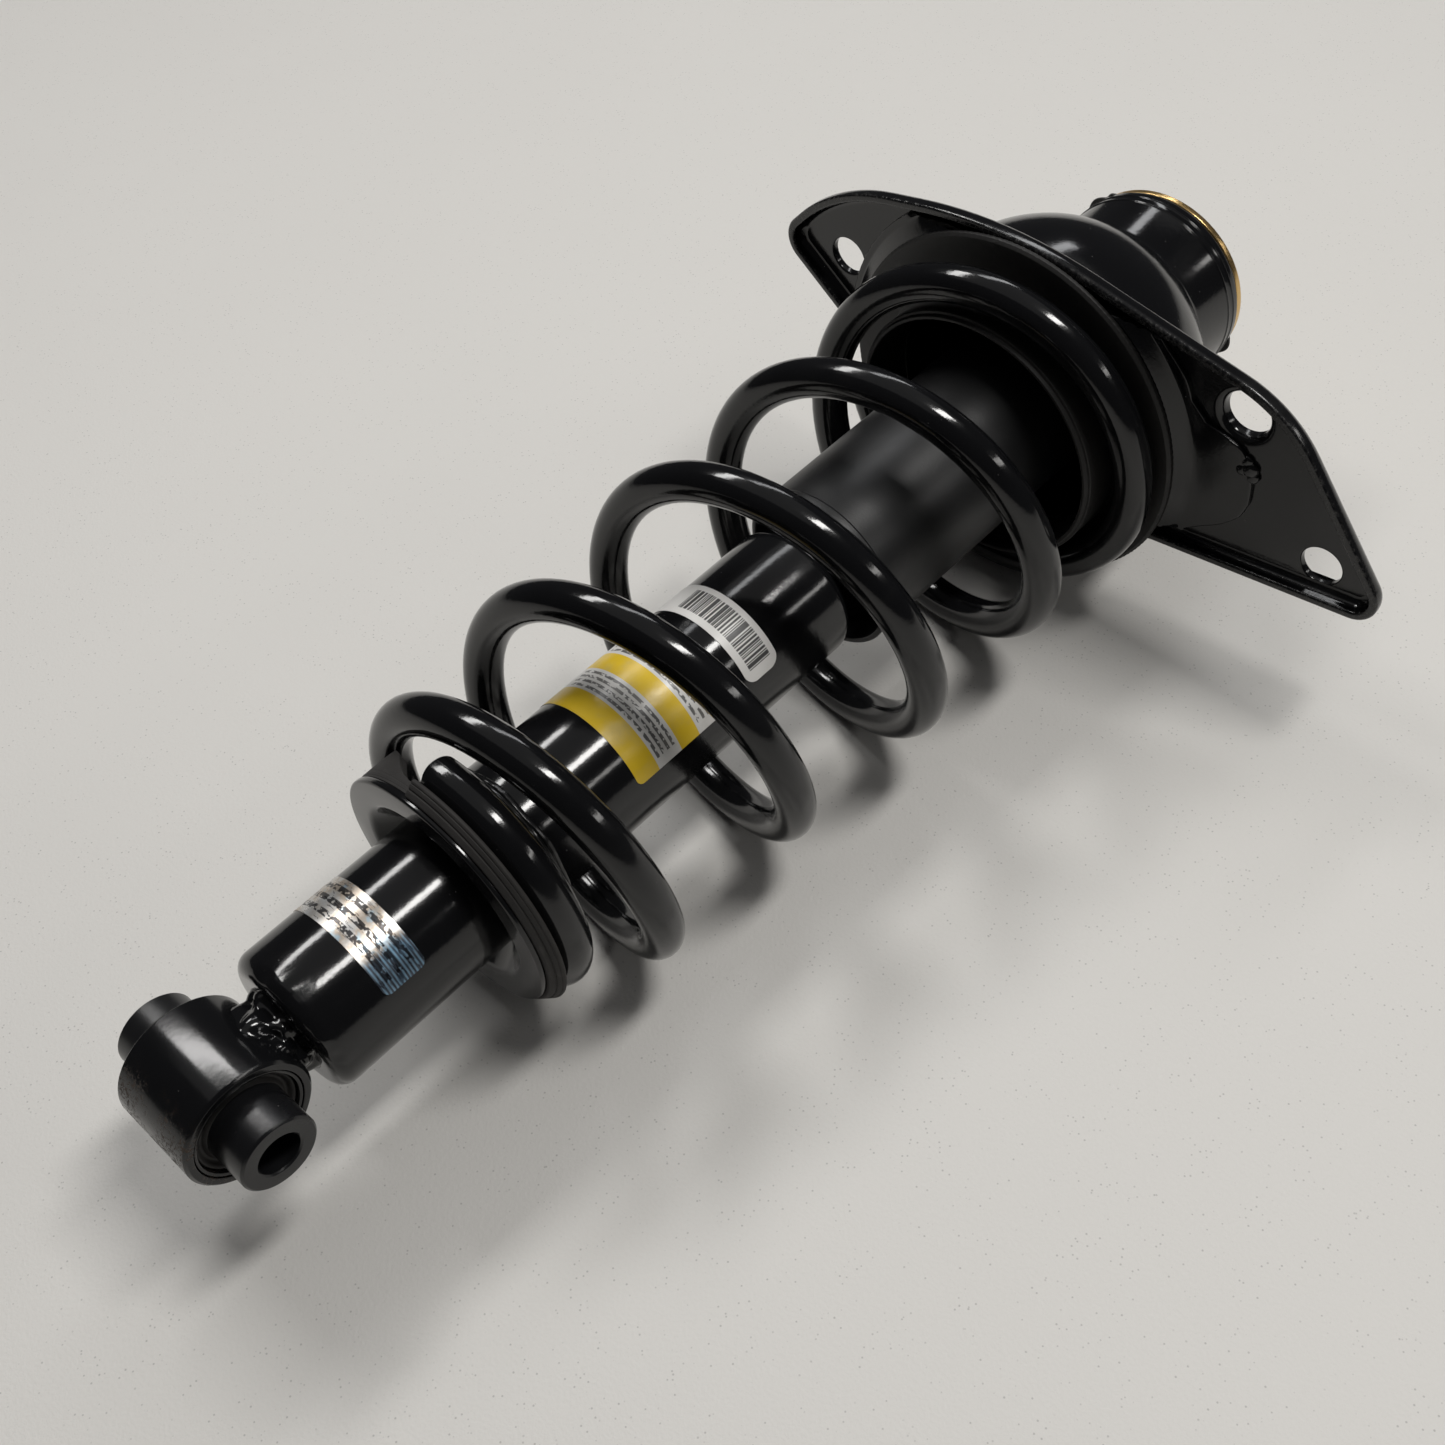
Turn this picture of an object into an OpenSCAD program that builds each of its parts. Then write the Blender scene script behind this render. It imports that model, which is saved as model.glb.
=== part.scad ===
// Strut assembly: damper, coil spring, lower bush eye and three-hole upper mount.
// Millimetres. Origin at the centre of the lower bush bore, +Z up the strut, +Y along the bush.

/* [Lower eye] */
// Outside diameter of the eye ring
eye_d = 38.4; // [36:0.2:42]
// Length of the eye ring along the bush
eye_len = 31; // [26:0.5:36]
// Wall of the eye ring
eye_wall = 2.8; // [2.2:0.1:3.4]
// Bevel on the rims of the eye ring
eye_bevel = 0.8; // [0.4:0.1:1.2]
// Wall of the bush's outer shell
bush_shell_wall = 1.2; // [0.8:0.1:1.6]
// How far the rubber stops short of each end of the shell
rubber_recess = 1.8; // [1:0.1:3]
// Outside diameter of the inner sleeve
sleeve_d = 22.8; // [20:0.2:24]
// Length of the inner sleeve
sleeve_len = 56.5; // [48:0.5:60]
// Bore of the inner sleeve, for an M12 bolt
sleeve_bore = 12.6; // [12.2:0.1:13.4]
// Bevel on the ends of the sleeve
sleeve_bevel = 0.7; // [0.4:0.1:1.2]
// Diameter of the weld neck between eye and tube
neck_weld_d = 25; // [20:0.5:28]

/* [Damper tube] */
// Outside diameter of the reserve tube
tube_d = 45; // [44:0.5:46]
// Wall of the reserve tube
tube_wall = 2.2; // [1.8:0.1:2.6]
// Height of the tube's closed end above the bush bore
tube_low = 23; // [22:0.5:26]
// Height of the tube's rolled end
tube_top = 229; // [220:1:232]
// Radius of the tube's spun ends
tube_round = 5; // [4:0.5:6]
// Opening that the spun ends leave
tube_mouth_d = 27; // [24:0.5:29]
// Outside diameter of the pressure tube
pressure_d = 30; // [29:0.5:31]
// Wall of the pressure tube
pressure_wall = 1.5; // [1.2:0.1:1.8]
// Thickness of the plug in the closed end
plug_t = 3; // [2:0.5:4]
// Height of the foot valve
valve_h = 9; // [6:1:12]
// Height of the rod guide
guide_h = 12; // [10:1:14]
// Height of the rod seal
seal_h = 4; // [3:0.5:5]

/* [Rod] */
// Diameter of the piston rod
rod_d = 12.5; // [12:0.5:13]
// Diameter of the threaded stud on top of the rod
stud_d = 10; // [9:0.5:11]
// Length of the piston
piston_h = 16; // [12:1:20]
// Bare rod between the piston and the rebound stop
stop_spacing = 11; // [8:1:14]
// Height of the rebound stop ring
stop_h = 6; // [4:1:8]
// Height of the rod's shoulder, where the mount starts
shoulder_z = 381; // [379:0.5:383]

/* [Travel] */
// Compression travel of the damper until the bump stop is met
travel = 100; // [85:1:104]

/* [Lower spring seat] */
// Outside diameter of the steel seat
seat_d = 79; // [77:1:81]
// Sheet thickness of both spring seats
seat_t = 2.5; // [2:0.1:3]
// Height of the seat's rim
seat_z = 78.8; // [77:0.1:79.5]
// Diameter where the rim turns up into the cone
seat_cone_d = 60; // [59:0.5:61]
// Height of the cone above the rim
seat_cone_h = 24; // [22:0.5:26]

/* [Spring] */
// Diameter of the spring wire
wire_d = 12.5; // [12:0.1:12.8]
// Height of the lowest coil's centreline
coil_low = 91.5; // [91:0.1:92.5]
// Height of the highest coil's centreline
coil_top = 328; // [325:0.5:328]
// Radius of the lowest coil's centreline
coil_r_low = 37; // [36.5:0.1:38]
// Radius of the centreline after the first turn
coil_r_one = 50.5; // [49.5:0.5:52]
// Radius of the centreline in the middle turns
coil_r_mid = 55; // [53:0.5:56]
// Radius of the centreline at the top
coil_r_top = 57; // [56.5:0.1:58]
// Turn at which the coil starts, counted from the front
turn_start = -0.115; // [-0.15:0.005:-0.1]
// Turn at which the coil ends
turn_end = 5.62; // [5.5:0.02:5.8]

/* [Rubber seats] */
// Outside diameter of the lower isolator
low_iso_d = 87; // [86:0.5:88]
// How far the lower isolator hooks down over the seat's edge
iso_hook = 1; // [0.5:0.1:2]
// Rubber thickness on the cone of the lower seat
iso_skin = 2.2; // [1.8:0.1:2.4]
// Outside diameter of the upper isolator
top_iso_d = 131; // [129:0.5:133]
// Thickness of the upper isolator above the coil
top_iso_t = 2.3; // [2:0.1:3]
// Outside diameter of the sleeve that hangs inside the top coil
mouth_d = 95; // [93:0.5:96]
// Length of that sleeve below the isolator's flat
mouth_drop = 19; // [14:0.5:20]

/* [Dust shield and bump stop] */
// Outside diameter of the dust shield
shield_d = 56.6; // [55:0.2:58]
// Wall of the dust shield
shield_wall = 1.8; // [1.4:0.1:2]
// Height of the dust shield's open rim
shield_low = 237; // [235:1:240]
// Thickness of the shield's cap
shield_cap_t = 3; // [2:0.5:4]
// Diameter of the bump stop
bump_d = 38; // [34:1:40]
// Diameter of the bump stop's narrow end
bump_nose_d = 24; // [22:1:26]
// Diameter of the bump stop's waists
bump_waist_d = 28; // [24:1:30]
// Travel left before the tube meets the bump stop
bump_free = 7; // [5.5:0.5:10]

/* [Upper mount] */
// Height of the plate's upper face
plate_z = 345; // [344:0.5:348]
// Sheet thickness of the plate
plate_t = 3; // [2.6:0.1:3.4]
// Height of the plate's turned lip
lip_h = 8; // [7:0.5:8]
// Outer radius of the bend between plate and lip
lip_bend = 6; // [5:0.5:6.5]
// Diameter of the hole in the middle of the plate
plate_hole_d = 98; // [94:1:99]
// Radius of the dome
dome_r = 55.3; // [54:0.1:57]
// Height of the dome's centre above the plate's upper face
dome_rise = 10; // [9:0.5:12]
// Wall of the dome
dome_wall = 2.5; // [2:0.1:3]
// Outside diameter of the neck
neck_d = 70; // [68:0.5:72]
// Height of the neck's rim
neck_top = 423; // [421:0.5:425]
// Diameter of the flare of the upper spring seat where it meets the plate
flare_d = 146; // [142:1:148]
// Diameter of the plated washer
washer_d = 68; // [66:0.5:69]
// Thickness of the plated washer
washer_t = 2.5; // [2:0.1:3]
// Diameter of the two bolt holes at the tips
tip_hole_d = 14; // [12:0.5:15]
// Diameter of the large hole at the corner
corner_hole_d = 16; // [14:0.5:18]
// Height of the collar drawn up around the large hole
collar_h = 2; // [1:0.5:3]
// Wall of that collar
collar_wall = 1.5; // [1:0.1:2]

/* [Labels] */
// Thickness of the label film
label_t = 0.15; // [0.1:0.05:0.2]
// Height of the foil strip's lower edge
foil_z = 44.5; // [42:0.5:50]
// Width of the foil strip
foil_w = 14; // [10:0.5:18]
// Height of the banded label's lower edge
banded_z = 136.5; // [130:0.5:142]
// Width of the banded label
banded_w = 35; // [30:0.5:40]
// Height of the bar label's lower edge
bars_z = 183; // [180:0.5:188]
// Width of the bar label
bars_w = 13.5; // [10:0.5:18]

/* [Hidden] */
$fn = 72;

// Clearances
slide_gap = 0.05;      // radial gap of parts that slide or turn in each other
coil_gap = 0.3;        // gap between the spring and the rubber it rests on
film_gap = 0.02;       // gap between a label and the tube
cut = 1;               // how far a cutter runs past a face

// Directions about the strut
front_az = 35;         // azimuth from which turns of the coil are counted
foil_az = [-75, 68];   // azimuths between which each label runs
banded_az = [-75, 83];
bars_az = [-75, 71];

// Derived radii and heights
eye_r = eye_d / 2;
eye_bore_r = eye_r - eye_wall;
shell_bore_r = eye_bore_r - bush_shell_wall;
sleeve_r = sleeve_d / 2;
tube_r = tube_d / 2;
mouth_r = tube_mouth_d / 2;
pressure_r = pressure_d / 2;
pressure_bore_r = pressure_r - pressure_wall;
rod_r = rod_d / 2;
stud_r = stud_d / 2;
wire_r = wire_d / 2;
floor_z = tube_low + tube_wall;
plug_top = floor_z + plug_t;
seal_top = tube_top - tube_wall;
guide_top = seal_top - seal_h;
guide_low = guide_top - guide_h;
guide_lip = 4;
seat_r = seat_d / 2;
cone_r = seat_cone_d / 2;
root_r = tube_r + seat_t;
cone_turn_h = 10;
seat_top = seat_z + seat_t;
coil_under = coil_low - wire_r - coil_gap;
coil_over = coil_top + wire_r + coil_gap;
mouth_wall = 2.5;
top_iso_z = coil_over + top_iso_t;
top_seat_z = top_iso_z + seat_t;
plate_low = plate_z - plate_t;
dome_z = plate_z + dome_rise;
neck_r = neck_d / 2;
neck_bore_r = neck_r - dome_wall;
neck_foot = dome_z + sqrt(dome_r * dome_r - neck_r * neck_r);
shield_r = shield_d / 2;
shield_bore_r = shield_r - shield_wall;
rod_washer_t = 3;
rod_washer_r = 21;
sleeve_low = shoulder_z + rod_washer_t;
rubber_lip = 1.5;
washer_z = neck_top + rubber_lip;
nut_z = washer_z + washer_t;
nut_h = 8;
nut_af = 17;
stud_over = 5;
mount_sleeve_r = 9;
mount_shell_wall = 1.5;
mount_shell_low = neck_foot + 2;
stop_gap = 2;
stop_wall = 3;
stop_low = guide_low - guide_lip - stop_gap - stop_h;
piston_low = stop_low - stop_spacing - piston_h;
piston_nut_h = 7;
spigot_low = piston_low - piston_nut_h - 1;
cap_low = shoulder_z - shield_cap_t;
bump_low = tube_top + travel + bump_free;

// The rim of the plate's lip: corner position and the radius that rounds it
plate_corners = [
    [70.5, -6, 170], [45, 100, 48], [-19.5, 147, 9], [-29, 57, 10], [-64.5, 26, 40],
    [-64.5, -40, 36], [0, -68, 18], [29.5, -103.5, 10], [58, -76, 72]
];
tip_holes = [[28, -74.5], [-10.5, 117.5]];
corner_hole = [33.2, 83.8];

// ---- Functions ----------------------------------------------------------

// Points along an arc, centre [x, y], from angle a to angle b
function arc(x, y, r, a, b, n = 8) =
    [for (i = [0:n]) [x + r * cos(a + (b - a) * i / n), y + r * sin(a + (b - a) * i / n)]];

function unit(v) = v / norm(v);
function cross2(a, b) = a[0] * b[1] - a[1] * b[0];
function xy(p) = [p[0], p[1]];

// One rounded corner b between a and c, as points of its fillet arc
function fillet(a, b, c, r, n = 7) =
    let (
        u = unit(a - b),
        v = unit(c - b),
        half = acos(u * v) / 2,
        reach = r / tan(half),
        centre = b + unit(u + v) * r / sin(half),
        p = b + u * reach - centre,
        q = b + v * reach - centre,
        a0 = atan2(p[1], p[0]),
        sweep = atan2(cross2(p, q), p * q)
    )
    arc(centre[0], centre[1], r, a0, a0 + sweep, n);

// A closed outline with every corner rounded
function rounded(c) =
    let (n = len(c))
    [for (i = [0:n - 1])
        each fillet(xy(c[(i + n - 1) % n]), xy(c[i]), xy(c[(i + 1) % n]), c[i][2])];

// The same outline moved inward by d; a corner's radius follows its bend
function inset(c, d) =
    let (n = len(c))
    [for (i = [0:n - 1])
        let (
            b = xy(c[i]),
            u = unit(xy(c[(i + n - 1) % n]) - b),
            v = unit(xy(c[(i + 1) % n]) - b),
            bend = cross2(v, u) > 0 ? 1 : -1,
            half = acos(u * v) / 2,
            moved = b + bend * unit(u + v) * d / sin(half)
        )
        [moved[0], moved[1], max(1, c[i][2] - bend * d)]];

// Smooth step from 0 to 1
function ease(x) = let (k = max(0, min(1, x))) k * k * (3 - 2 * k);

// The coil lifts off its seat, climbs evenly and levels out at the top
lift_turn = 0.14;
lift_span = 1.36;
land_turn = 5.27;
land_span = 0.55;
// Turns at which the radius starts to grow from one size to the next, and the turns that it takes
grow_one = [0.1, 1.2];
grow_mid = [1.75, 1.7];
grow_top = [3.9, 1.2];
climb_span = land_turn - lift_turn - (lift_span + land_span) / 2;
function climb_low(t) =
    let (s = max(0, t - lift_turn))
    (s < lift_span ? s * s / (2 * lift_span) : s - lift_span / 2) / climb_span;
function climb_top(t) =
    let (e = max(0, land_turn - t))
    1 - (e < land_span ? e * e / (2 * land_span) : e - land_span / 2) / climb_span;
function coil_z(t) =
    coil_low + (coil_top - coil_low) * (t < (lift_turn + land_turn) / 2 ? climb_low(t) : climb_top(t));
function coil_r(t) =
    coil_r_low + (coil_r_one - coil_r_low) * ease((t - grow_one[0]) / grow_one[1])
    + (coil_r_mid - coil_r_one) * ease((t - grow_mid[0]) / grow_mid[1])
    + (coil_r_top - coil_r_mid) * ease((t - grow_top[0]) / grow_top[1]);
function coil_point(t) =
    let (a = front_az + 360 * t)
    [coil_r(t) * cos(a), coil_r(t) * sin(a), coil_z(t)];

rings_per_turn = 24;
wire_sides = 8;
ring_count = round((turn_end - turn_start) * rings_per_turn);
function ring_turn(i) = turn_start + (turn_end - turn_start) * i / ring_count;
function ring_points(t) =
    let (
        p = coil_point(t),
        ahead = unit(coil_point(t + 0.001) - coil_point(t - 0.001)),
        out = unit([p[0], p[1], 0]),
        side = unit(out - ahead * (out * ahead)),
        up = cross(ahead, side)
    )
    [for (k = [0:wire_sides - 1])
        p + wire_r * (cos(360 * k / wire_sides) * side + sin(360 * k / wire_sides) * up)];
spring_points = [for (i = [0:ring_count]) each ring_points(ring_turn(i))];
function wrap(k) = k % wire_sides;
spring_sides = [for (i = [0:ring_count - 1], k = [0:wire_sides - 1])
    let (
        a = i * wire_sides + k,
        b = i * wire_sides + wrap(k + 1),
        c = a + wire_sides,
        d = b + wire_sides
    )
    each [[a, c, b], [b, c, d]]];
last_ring = ring_count * wire_sides;
spring_ends = [for (k = [1:wire_sides - 2])
    each [[0, k, k + 1], [last_ring, last_ring + k + 1, last_ring + k]]];

// Least gap between neighbouring turns, measured on the centreline
gap_steps = [for (i = [0:ring_count]) ring_turn(i)];
gap_between = [for (t = gap_steps, s = gap_steps)
    if (s - t > 0.5) norm(coil_point(t) - coil_point(s)) - wire_d];
echo(least_gap_of_spring_mm = min(gap_between));

// ---- Shared shapes ------------------------------------------------------

module ring(r, bore, z0, z1) {
    difference() {
        translate([0, 0, z0]) cylinder(r = r, h = z1 - z0);
        translate([0, 0, z0 - cut]) cylinder(r = bore, h = z1 - z0 + 2 * cut);
    }
}

// A ring about the bush axis with bevelled rims
module bush_ring(r, bore, len, bevel) {
    rotate([90, 0, 0])
        rotate_extrude()
            polygon([
                [bore, -len / 2], [r - bevel, -len / 2], [r, -len / 2 + bevel],
                [r, len / 2 - bevel], [r - bevel, len / 2], [bore, len / 2]
            ]);
}

// A film on the tube between two azimuths
module label_film(z0, w, az) {
    rotate([0, 0, az[0]])
        rotate_extrude(angle = az[1] - az[0])
            translate([tube_r + film_gap, z0]) square([label_t, w]);
}

// ---- Lower eye ----------------------------------------------------------

module eye_ring() {
    color([0.05, 0.05, 0.055]) bush_ring(eye_r, eye_bore_r, eye_len, eye_bevel);
}

module eye_weld() {
    color([0.06, 0.06, 0.065])
        difference() {
            cylinder(d = neck_weld_d, h = tube_low);
            rotate([90, 0, 0]) cylinder(r = eye_r, h = eye_len, center = true);
        }
}

module bush_shell() {
    color([0.08, 0.08, 0.085]) bush_ring(eye_bore_r, shell_bore_r, eye_len, eye_bevel / 2);
}

module bush_rubber() {
    color([0.03, 0.03, 0.03])
        bush_ring(shell_bore_r, sleeve_r + slide_gap, eye_len - 2 * rubber_recess, eye_bevel / 2);
}

module bush_sleeve() {
    color([0.05, 0.05, 0.055]) bush_ring(sleeve_r, sleeve_bore / 2, sleeve_len, sleeve_bevel);
}

// ---- Damper tube --------------------------------------------------------

module reserve_tube() {
    bend = tube_r - tube_round;
    inner = tube_round - tube_wall;
    color([0.05, 0.05, 0.055])
        rotate_extrude()
            polygon(concat(
                [[mouth_r, tube_low]],
                arc(bend, tube_low + tube_round, tube_round, -90, 0),
                arc(bend, tube_top - tube_round, tube_round, 0, 90),
                [[mouth_r, tube_top], [mouth_r, tube_top - tube_wall]],
                arc(bend, tube_top - tube_round, inner, 90, 0),
                arc(bend, tube_low + tube_round, inner, 0, -90),
                [[mouth_r, tube_low + tube_wall]]
            ));
}

module base_plug() {
    color([0.06, 0.06, 0.065])
        rotate_extrude()
            polygon([
                [0, tube_low], [mouth_r, tube_low], [mouth_r, floor_z],
                [tube_r - tube_round, floor_z], [tube_r - tube_round, plug_top], [0, plug_top]
            ]);
}

module pressure_tube() {
    color([0.6, 0.61, 0.63]) ring(pressure_r, pressure_bore_r, plug_top, guide_low);
}

module foot_valve() {
    port_r = 1.5;
    ports = 6;
    color([0.55, 0.5, 0.4])
        difference() {
            translate([0, 0, plug_top]) cylinder(r = pressure_bore_r, h = valve_h);
            for (i = [0:ports - 1])
                rotate([0, 0, 360 * i / ports])
                    translate([pressure_bore_r * 0.62, 0, plug_top - cut])
                        cylinder(r = port_r, h = valve_h + 2 * cut, $fn = 24);
        }
}

module rod_guide() {
    color([0.5, 0.5, 0.52])
        rotate_extrude()
            polygon([
                [rod_r + slide_gap, guide_low - guide_lip], [pressure_bore_r, guide_low - guide_lip],
                [pressure_bore_r, guide_low], [tube_r - tube_round, guide_low],
                [tube_r - tube_round, guide_top], [rod_r + slide_gap, guide_top]
            ]);
}

module rod_seal() {
    color([0.04, 0.04, 0.04])
        ring(tube_r - tube_round, rod_r + slide_gap, guide_top, seal_top);
}

// ---- Lower spring seat --------------------------------------------------

module lower_spring_seat() {
    cone_top = seat_z + seat_cone_h;
    color([0.06, 0.06, 0.065])
        rotate_extrude()
            polygon([
                [cone_r, seat_z], [seat_r, seat_z], [seat_r, seat_top], [cone_r, seat_top],
                [root_r + seat_t / 2, seat_z + cone_turn_h], [root_r, cone_top],
                [tube_r, cone_top], [tube_r, seat_z + cone_turn_h]
            ]);
}

module seat_weld() {
    weld = seat_t;
    low = seat_z + seat_cone_h;
    color([0.07, 0.07, 0.075])
        rotate_extrude() polygon([[tube_r, low], [tube_r + weld, low], [tube_r, low + weld]]);
}

// Rubber ring under the coil: full width from hook_az on, narrow between hook_az and the wire's end,
// with a wedge there that rises under the lifting coil and falls away before the wire's end
hook_az = [-5, 255];
wedge_from = 0.3;
wedge_crest = 0.78;
wedge_to = 1 + turn_start - 0.01;
wedge_steps = 20;
wedge_in = cone_r + iso_skin + 2;
wedge_out = seat_r + 1;
function wedge_follow(t) = coil_z(t) - wire_r - 3 * coil_gap;
function wedge_top(t) =
    t < wedge_crest
        ? wedge_follow(t)
        : coil_under + (wedge_follow(wedge_crest) - coil_under) * ease((wedge_to - t) / (wedge_to - wedge_crest));
function wedge_ring(t) =
    let (a = front_az + 360 * t, low = seat_top + 1, out = wedge_out)
    [for (q = [[wedge_in, wedge_top(t)], [out, wedge_top(t)], [out, low], [wedge_in, low]])
        [q[0] * cos(a), q[0] * sin(a), q[1]]];
wedge_points = [for (i = [0:wedge_steps])
    each wedge_ring(wedge_from + (wedge_to - wedge_from) * i / wedge_steps)];
wedge_sides = [for (i = [0:wedge_steps - 1], k = [0:3])
    let (a = 4 * i + k, b = 4 * i + (k + 1) % 4, c = a + 4, d = b + 4)
    each [[a, c, b], [b, c, d]]];
wedge_end = 4 * wedge_steps;
wedge_caps = [[0, 1, 2], [0, 2, 3], [wedge_end, wedge_end + 2, wedge_end + 1],
    [wedge_end, wedge_end + 3, wedge_end + 2]];

module lower_isolator() {
    edge = 1.2;
    hug = low_iso_d / 2;
    skin_r = cone_r + iso_skin;
    color([0.09, 0.09, 0.09])
        union() {
            rotate_extrude()
                polygon([
                    [seat_r, seat_top], [seat_r, coil_under - edge], [seat_r - edge, coil_under],
                    [skin_r, coil_under], [root_r + seat_t / 2 + iso_skin, seat_z + cone_turn_h],
                    [root_r + iso_skin, seat_z + seat_cone_h - edge],
                    [root_r + iso_skin / 2, seat_z + seat_cone_h - edge],
                    [root_r + seat_t / 2 + slide_gap, seat_z + cone_turn_h],
                    [cone_r + slide_gap, seat_top]
                ]);
            rotate([0, 0, hook_az[0]])
                rotate_extrude(angle = hook_az[1] - hook_az[0])
                    polygon([
                        [skin_r + edge, seat_top], [seat_r + slide_gap, seat_top],
                        [seat_r + slide_gap, seat_top - iso_hook], [seat_r + 1, seat_top - iso_hook],
                        [hug, coil_under - edge / 2], [hug - edge / 2, coil_under],
                        [skin_r + edge, coil_under]
                    ]);
            polyhedron(points = wedge_points, faces = concat(wedge_sides, wedge_caps));
        }
}

// ---- Spring -------------------------------------------------------------

module coil_spring() {
    color([0.03, 0.03, 0.035])
        polyhedron(points = spring_points, faces = concat(spring_sides, spring_ends));
}

// ---- Upper seat ---------------------------------------------------------

module upper_isolator() {
    out = top_iso_d / 2;
    in = mouth_d / 2;
    edge = 1.2;
    color([0.07, 0.07, 0.07])
        rotate_extrude()
            polygon([
                [in - mouth_wall, coil_over - mouth_drop], [in, coil_over - mouth_drop],
                [in, coil_over], [out - edge, coil_over], [out, coil_over + edge],
                [out, top_iso_z], [in - mouth_wall, top_iso_z]
            ]);
}

module upper_spring_seat() {
    in = mouth_d / 2 - mouth_wall;
    out = top_iso_d / 2;
    flare = flare_d / 2;
    inside_lip = rounded(inset(plate_corners, lip_bend + coil_gap));
    color([0.06, 0.06, 0.065])
        intersection() {
            rotate_extrude()
                polygon([
                    [in, top_iso_z], [out, top_iso_z], [flare, plate_low - seat_t / 2],
                    [flare, plate_low], [flare - seat_t, plate_low], [out - seat_t / 2, top_seat_z],
                    [in, top_seat_z]
                ]);
            translate([0, 0, top_iso_z - cut])
                linear_extrude(height = plate_low - top_iso_z + 2 * cut) polygon(inside_lip);
        }
}

// The plate's section from the flat's upper edge round the lip: [distance from the rim, height]
lip_inner = lip_bend - plate_t;
lip_section = concat(
    [for (q = arc(lip_bend, plate_z - lip_bend, lip_bend, 90, 180, 5)) q],
    [[0, plate_z - lip_h], [plate_t, plate_z - lip_h]],
    [for (q = arc(lip_bend, plate_z - lip_bend, lip_inner, 180, 90, 4)) q]
);
plate_rings = [for (q = lip_section) [for (v = rounded(inset(plate_corners, q[0]))) [v[0], v[1], q[1]]]];
ring_len = len(plate_rings[0]);
last_plate_ring = (len(plate_rings) - 1) * ring_len;
top_centre = len(plate_rings) * ring_len;
plate_points = concat([for (q = plate_rings) each q], [[0, 0, plate_z], [0, 0, plate_low]]);
plate_sides = [for (i = [0:len(plate_rings) - 2], k = [0:ring_len - 1])
    let (
        a = i * ring_len + k,
        b = i * ring_len + (k + 1) % ring_len,
        c = a + ring_len,
        d = b + ring_len
    )
    each [[a, b, c], [b, d, c]]];
plate_caps = [for (k = [0:ring_len - 1])
    let (j = (k + 1) % ring_len)
    each [[top_centre, j, k], [top_centre + 1, last_plate_ring + k, last_plate_ring + j]]];

module mount_plate() {
    color([0.05, 0.05, 0.055])
        difference() {
            union() {
                polyhedron(points = plate_points, faces = concat(plate_sides, plate_caps));
                translate([corner_hole[0], corner_hole[1], plate_z - plate_t / 2])
                    cylinder(d = corner_hole_d + 2 * collar_wall, h = plate_t / 2 + collar_h);
            }
            translate([0, 0, plate_low - cut])
                cylinder(d = plate_hole_d, h = plate_t + 2 * cut);
            for (h = tip_holes)
                translate([h[0], h[1], plate_low - cut])
                    cylinder(d = tip_hole_d, h = plate_t + 2 * cut);
            translate([corner_hole[0], corner_hole[1], plate_low - cut])
                cylinder(d = corner_hole_d, h = plate_t + collar_h + 2 * cut);
        }
}

module mount_dome() {
    foot_a = -asin(dome_rise / dome_r);
    neck_a = acos(neck_r / dome_r);
    bore = dome_r - dome_wall;
    bore_foot_a = -asin(dome_rise / bore);
    bore_neck_a = acos(neck_bore_r / bore);
    color([0.05, 0.05, 0.055])
        rotate_extrude()
            polygon(concat(
                arc(0, dome_z, dome_r, foot_a, neck_a, 20),
                [[neck_r, neck_top], [neck_bore_r, neck_top]],
                arc(0, dome_z, bore, bore_neck_a, bore_foot_a, 20)
            ));
}

// ---- Rod group ----------------------------------------------------------

module piston_rod() {
    bevel = 0.8;
    spigot_top = piston_low + piston_h;
    stud_top = nut_z + nut_h + stud_over;
    color([0.75, 0.75, 0.77])
        rotate_extrude()
            polygon([
                [0, spigot_low], [stud_r - bevel, spigot_low],
                [stud_r, spigot_low + bevel], [stud_r, spigot_top],
                [rod_r, spigot_top], [rod_r, shoulder_z],
                [stud_r, shoulder_z], [stud_r, stud_top - bevel],
                [stud_r - bevel, stud_top], [0, stud_top]
            ]);
}

module piston() {
    color([0.5, 0.48, 0.45])
        ring(pressure_bore_r - slide_gap, stud_r, piston_low, piston_low + piston_h);
}

module hex_nut(z, h, bore) {
    difference() {
        translate([0, 0, z]) cylinder(d = nut_af / cos(30), h = h, $fn = 6);
        translate([0, 0, z - cut]) cylinder(r = bore, h = h + 2 * cut);
    }
}

module piston_nut() {
    color([0.6, 0.6, 0.62]) hex_nut(piston_low - piston_nut_h, piston_nut_h, stud_r);
}

module rebound_stop() {
    color([0.45, 0.45, 0.45])
        ring(rod_r + stop_wall, rod_r, stop_low, stop_low + stop_h);
}

module bump_stop() {
    h = cap_low - bump_low;
    r = bump_d / 2;
    nose = bump_nose_d / 2;
    waist = bump_waist_d / 2;
    bore = rod_r + coil_gap;
    color([0.85, 0.8, 0.6])
        rotate_extrude()
            polygon([
                [bore, bump_low], [nose, bump_low], [r * 0.85, bump_low + h * 0.14],
                [waist, bump_low + h * 0.28], [r * 0.95, bump_low + h * 0.45],
                [waist, bump_low + h * 0.62], [r, bump_low + h * 0.8], [r, cap_low],
                [bore, cap_low]
            ]);
}

module dust_shield() {
    color([0.05, 0.05, 0.05])
        rotate_extrude()
            polygon([
                [shield_bore_r, shield_low], [shield_r, shield_low],
                [shield_r, shoulder_z], [rod_r, shoulder_z], [rod_r, cap_low],
                [shield_bore_r, cap_low]
            ]);
}

module rod_washer() {
    color([0.5, 0.5, 0.52]) ring(rod_washer_r, stud_r, shoulder_z, sleeve_low);
}

module mount_sleeve() {
    color([0.55, 0.55, 0.57]) ring(mount_sleeve_r, stud_r, sleeve_low, washer_z);
}

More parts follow.
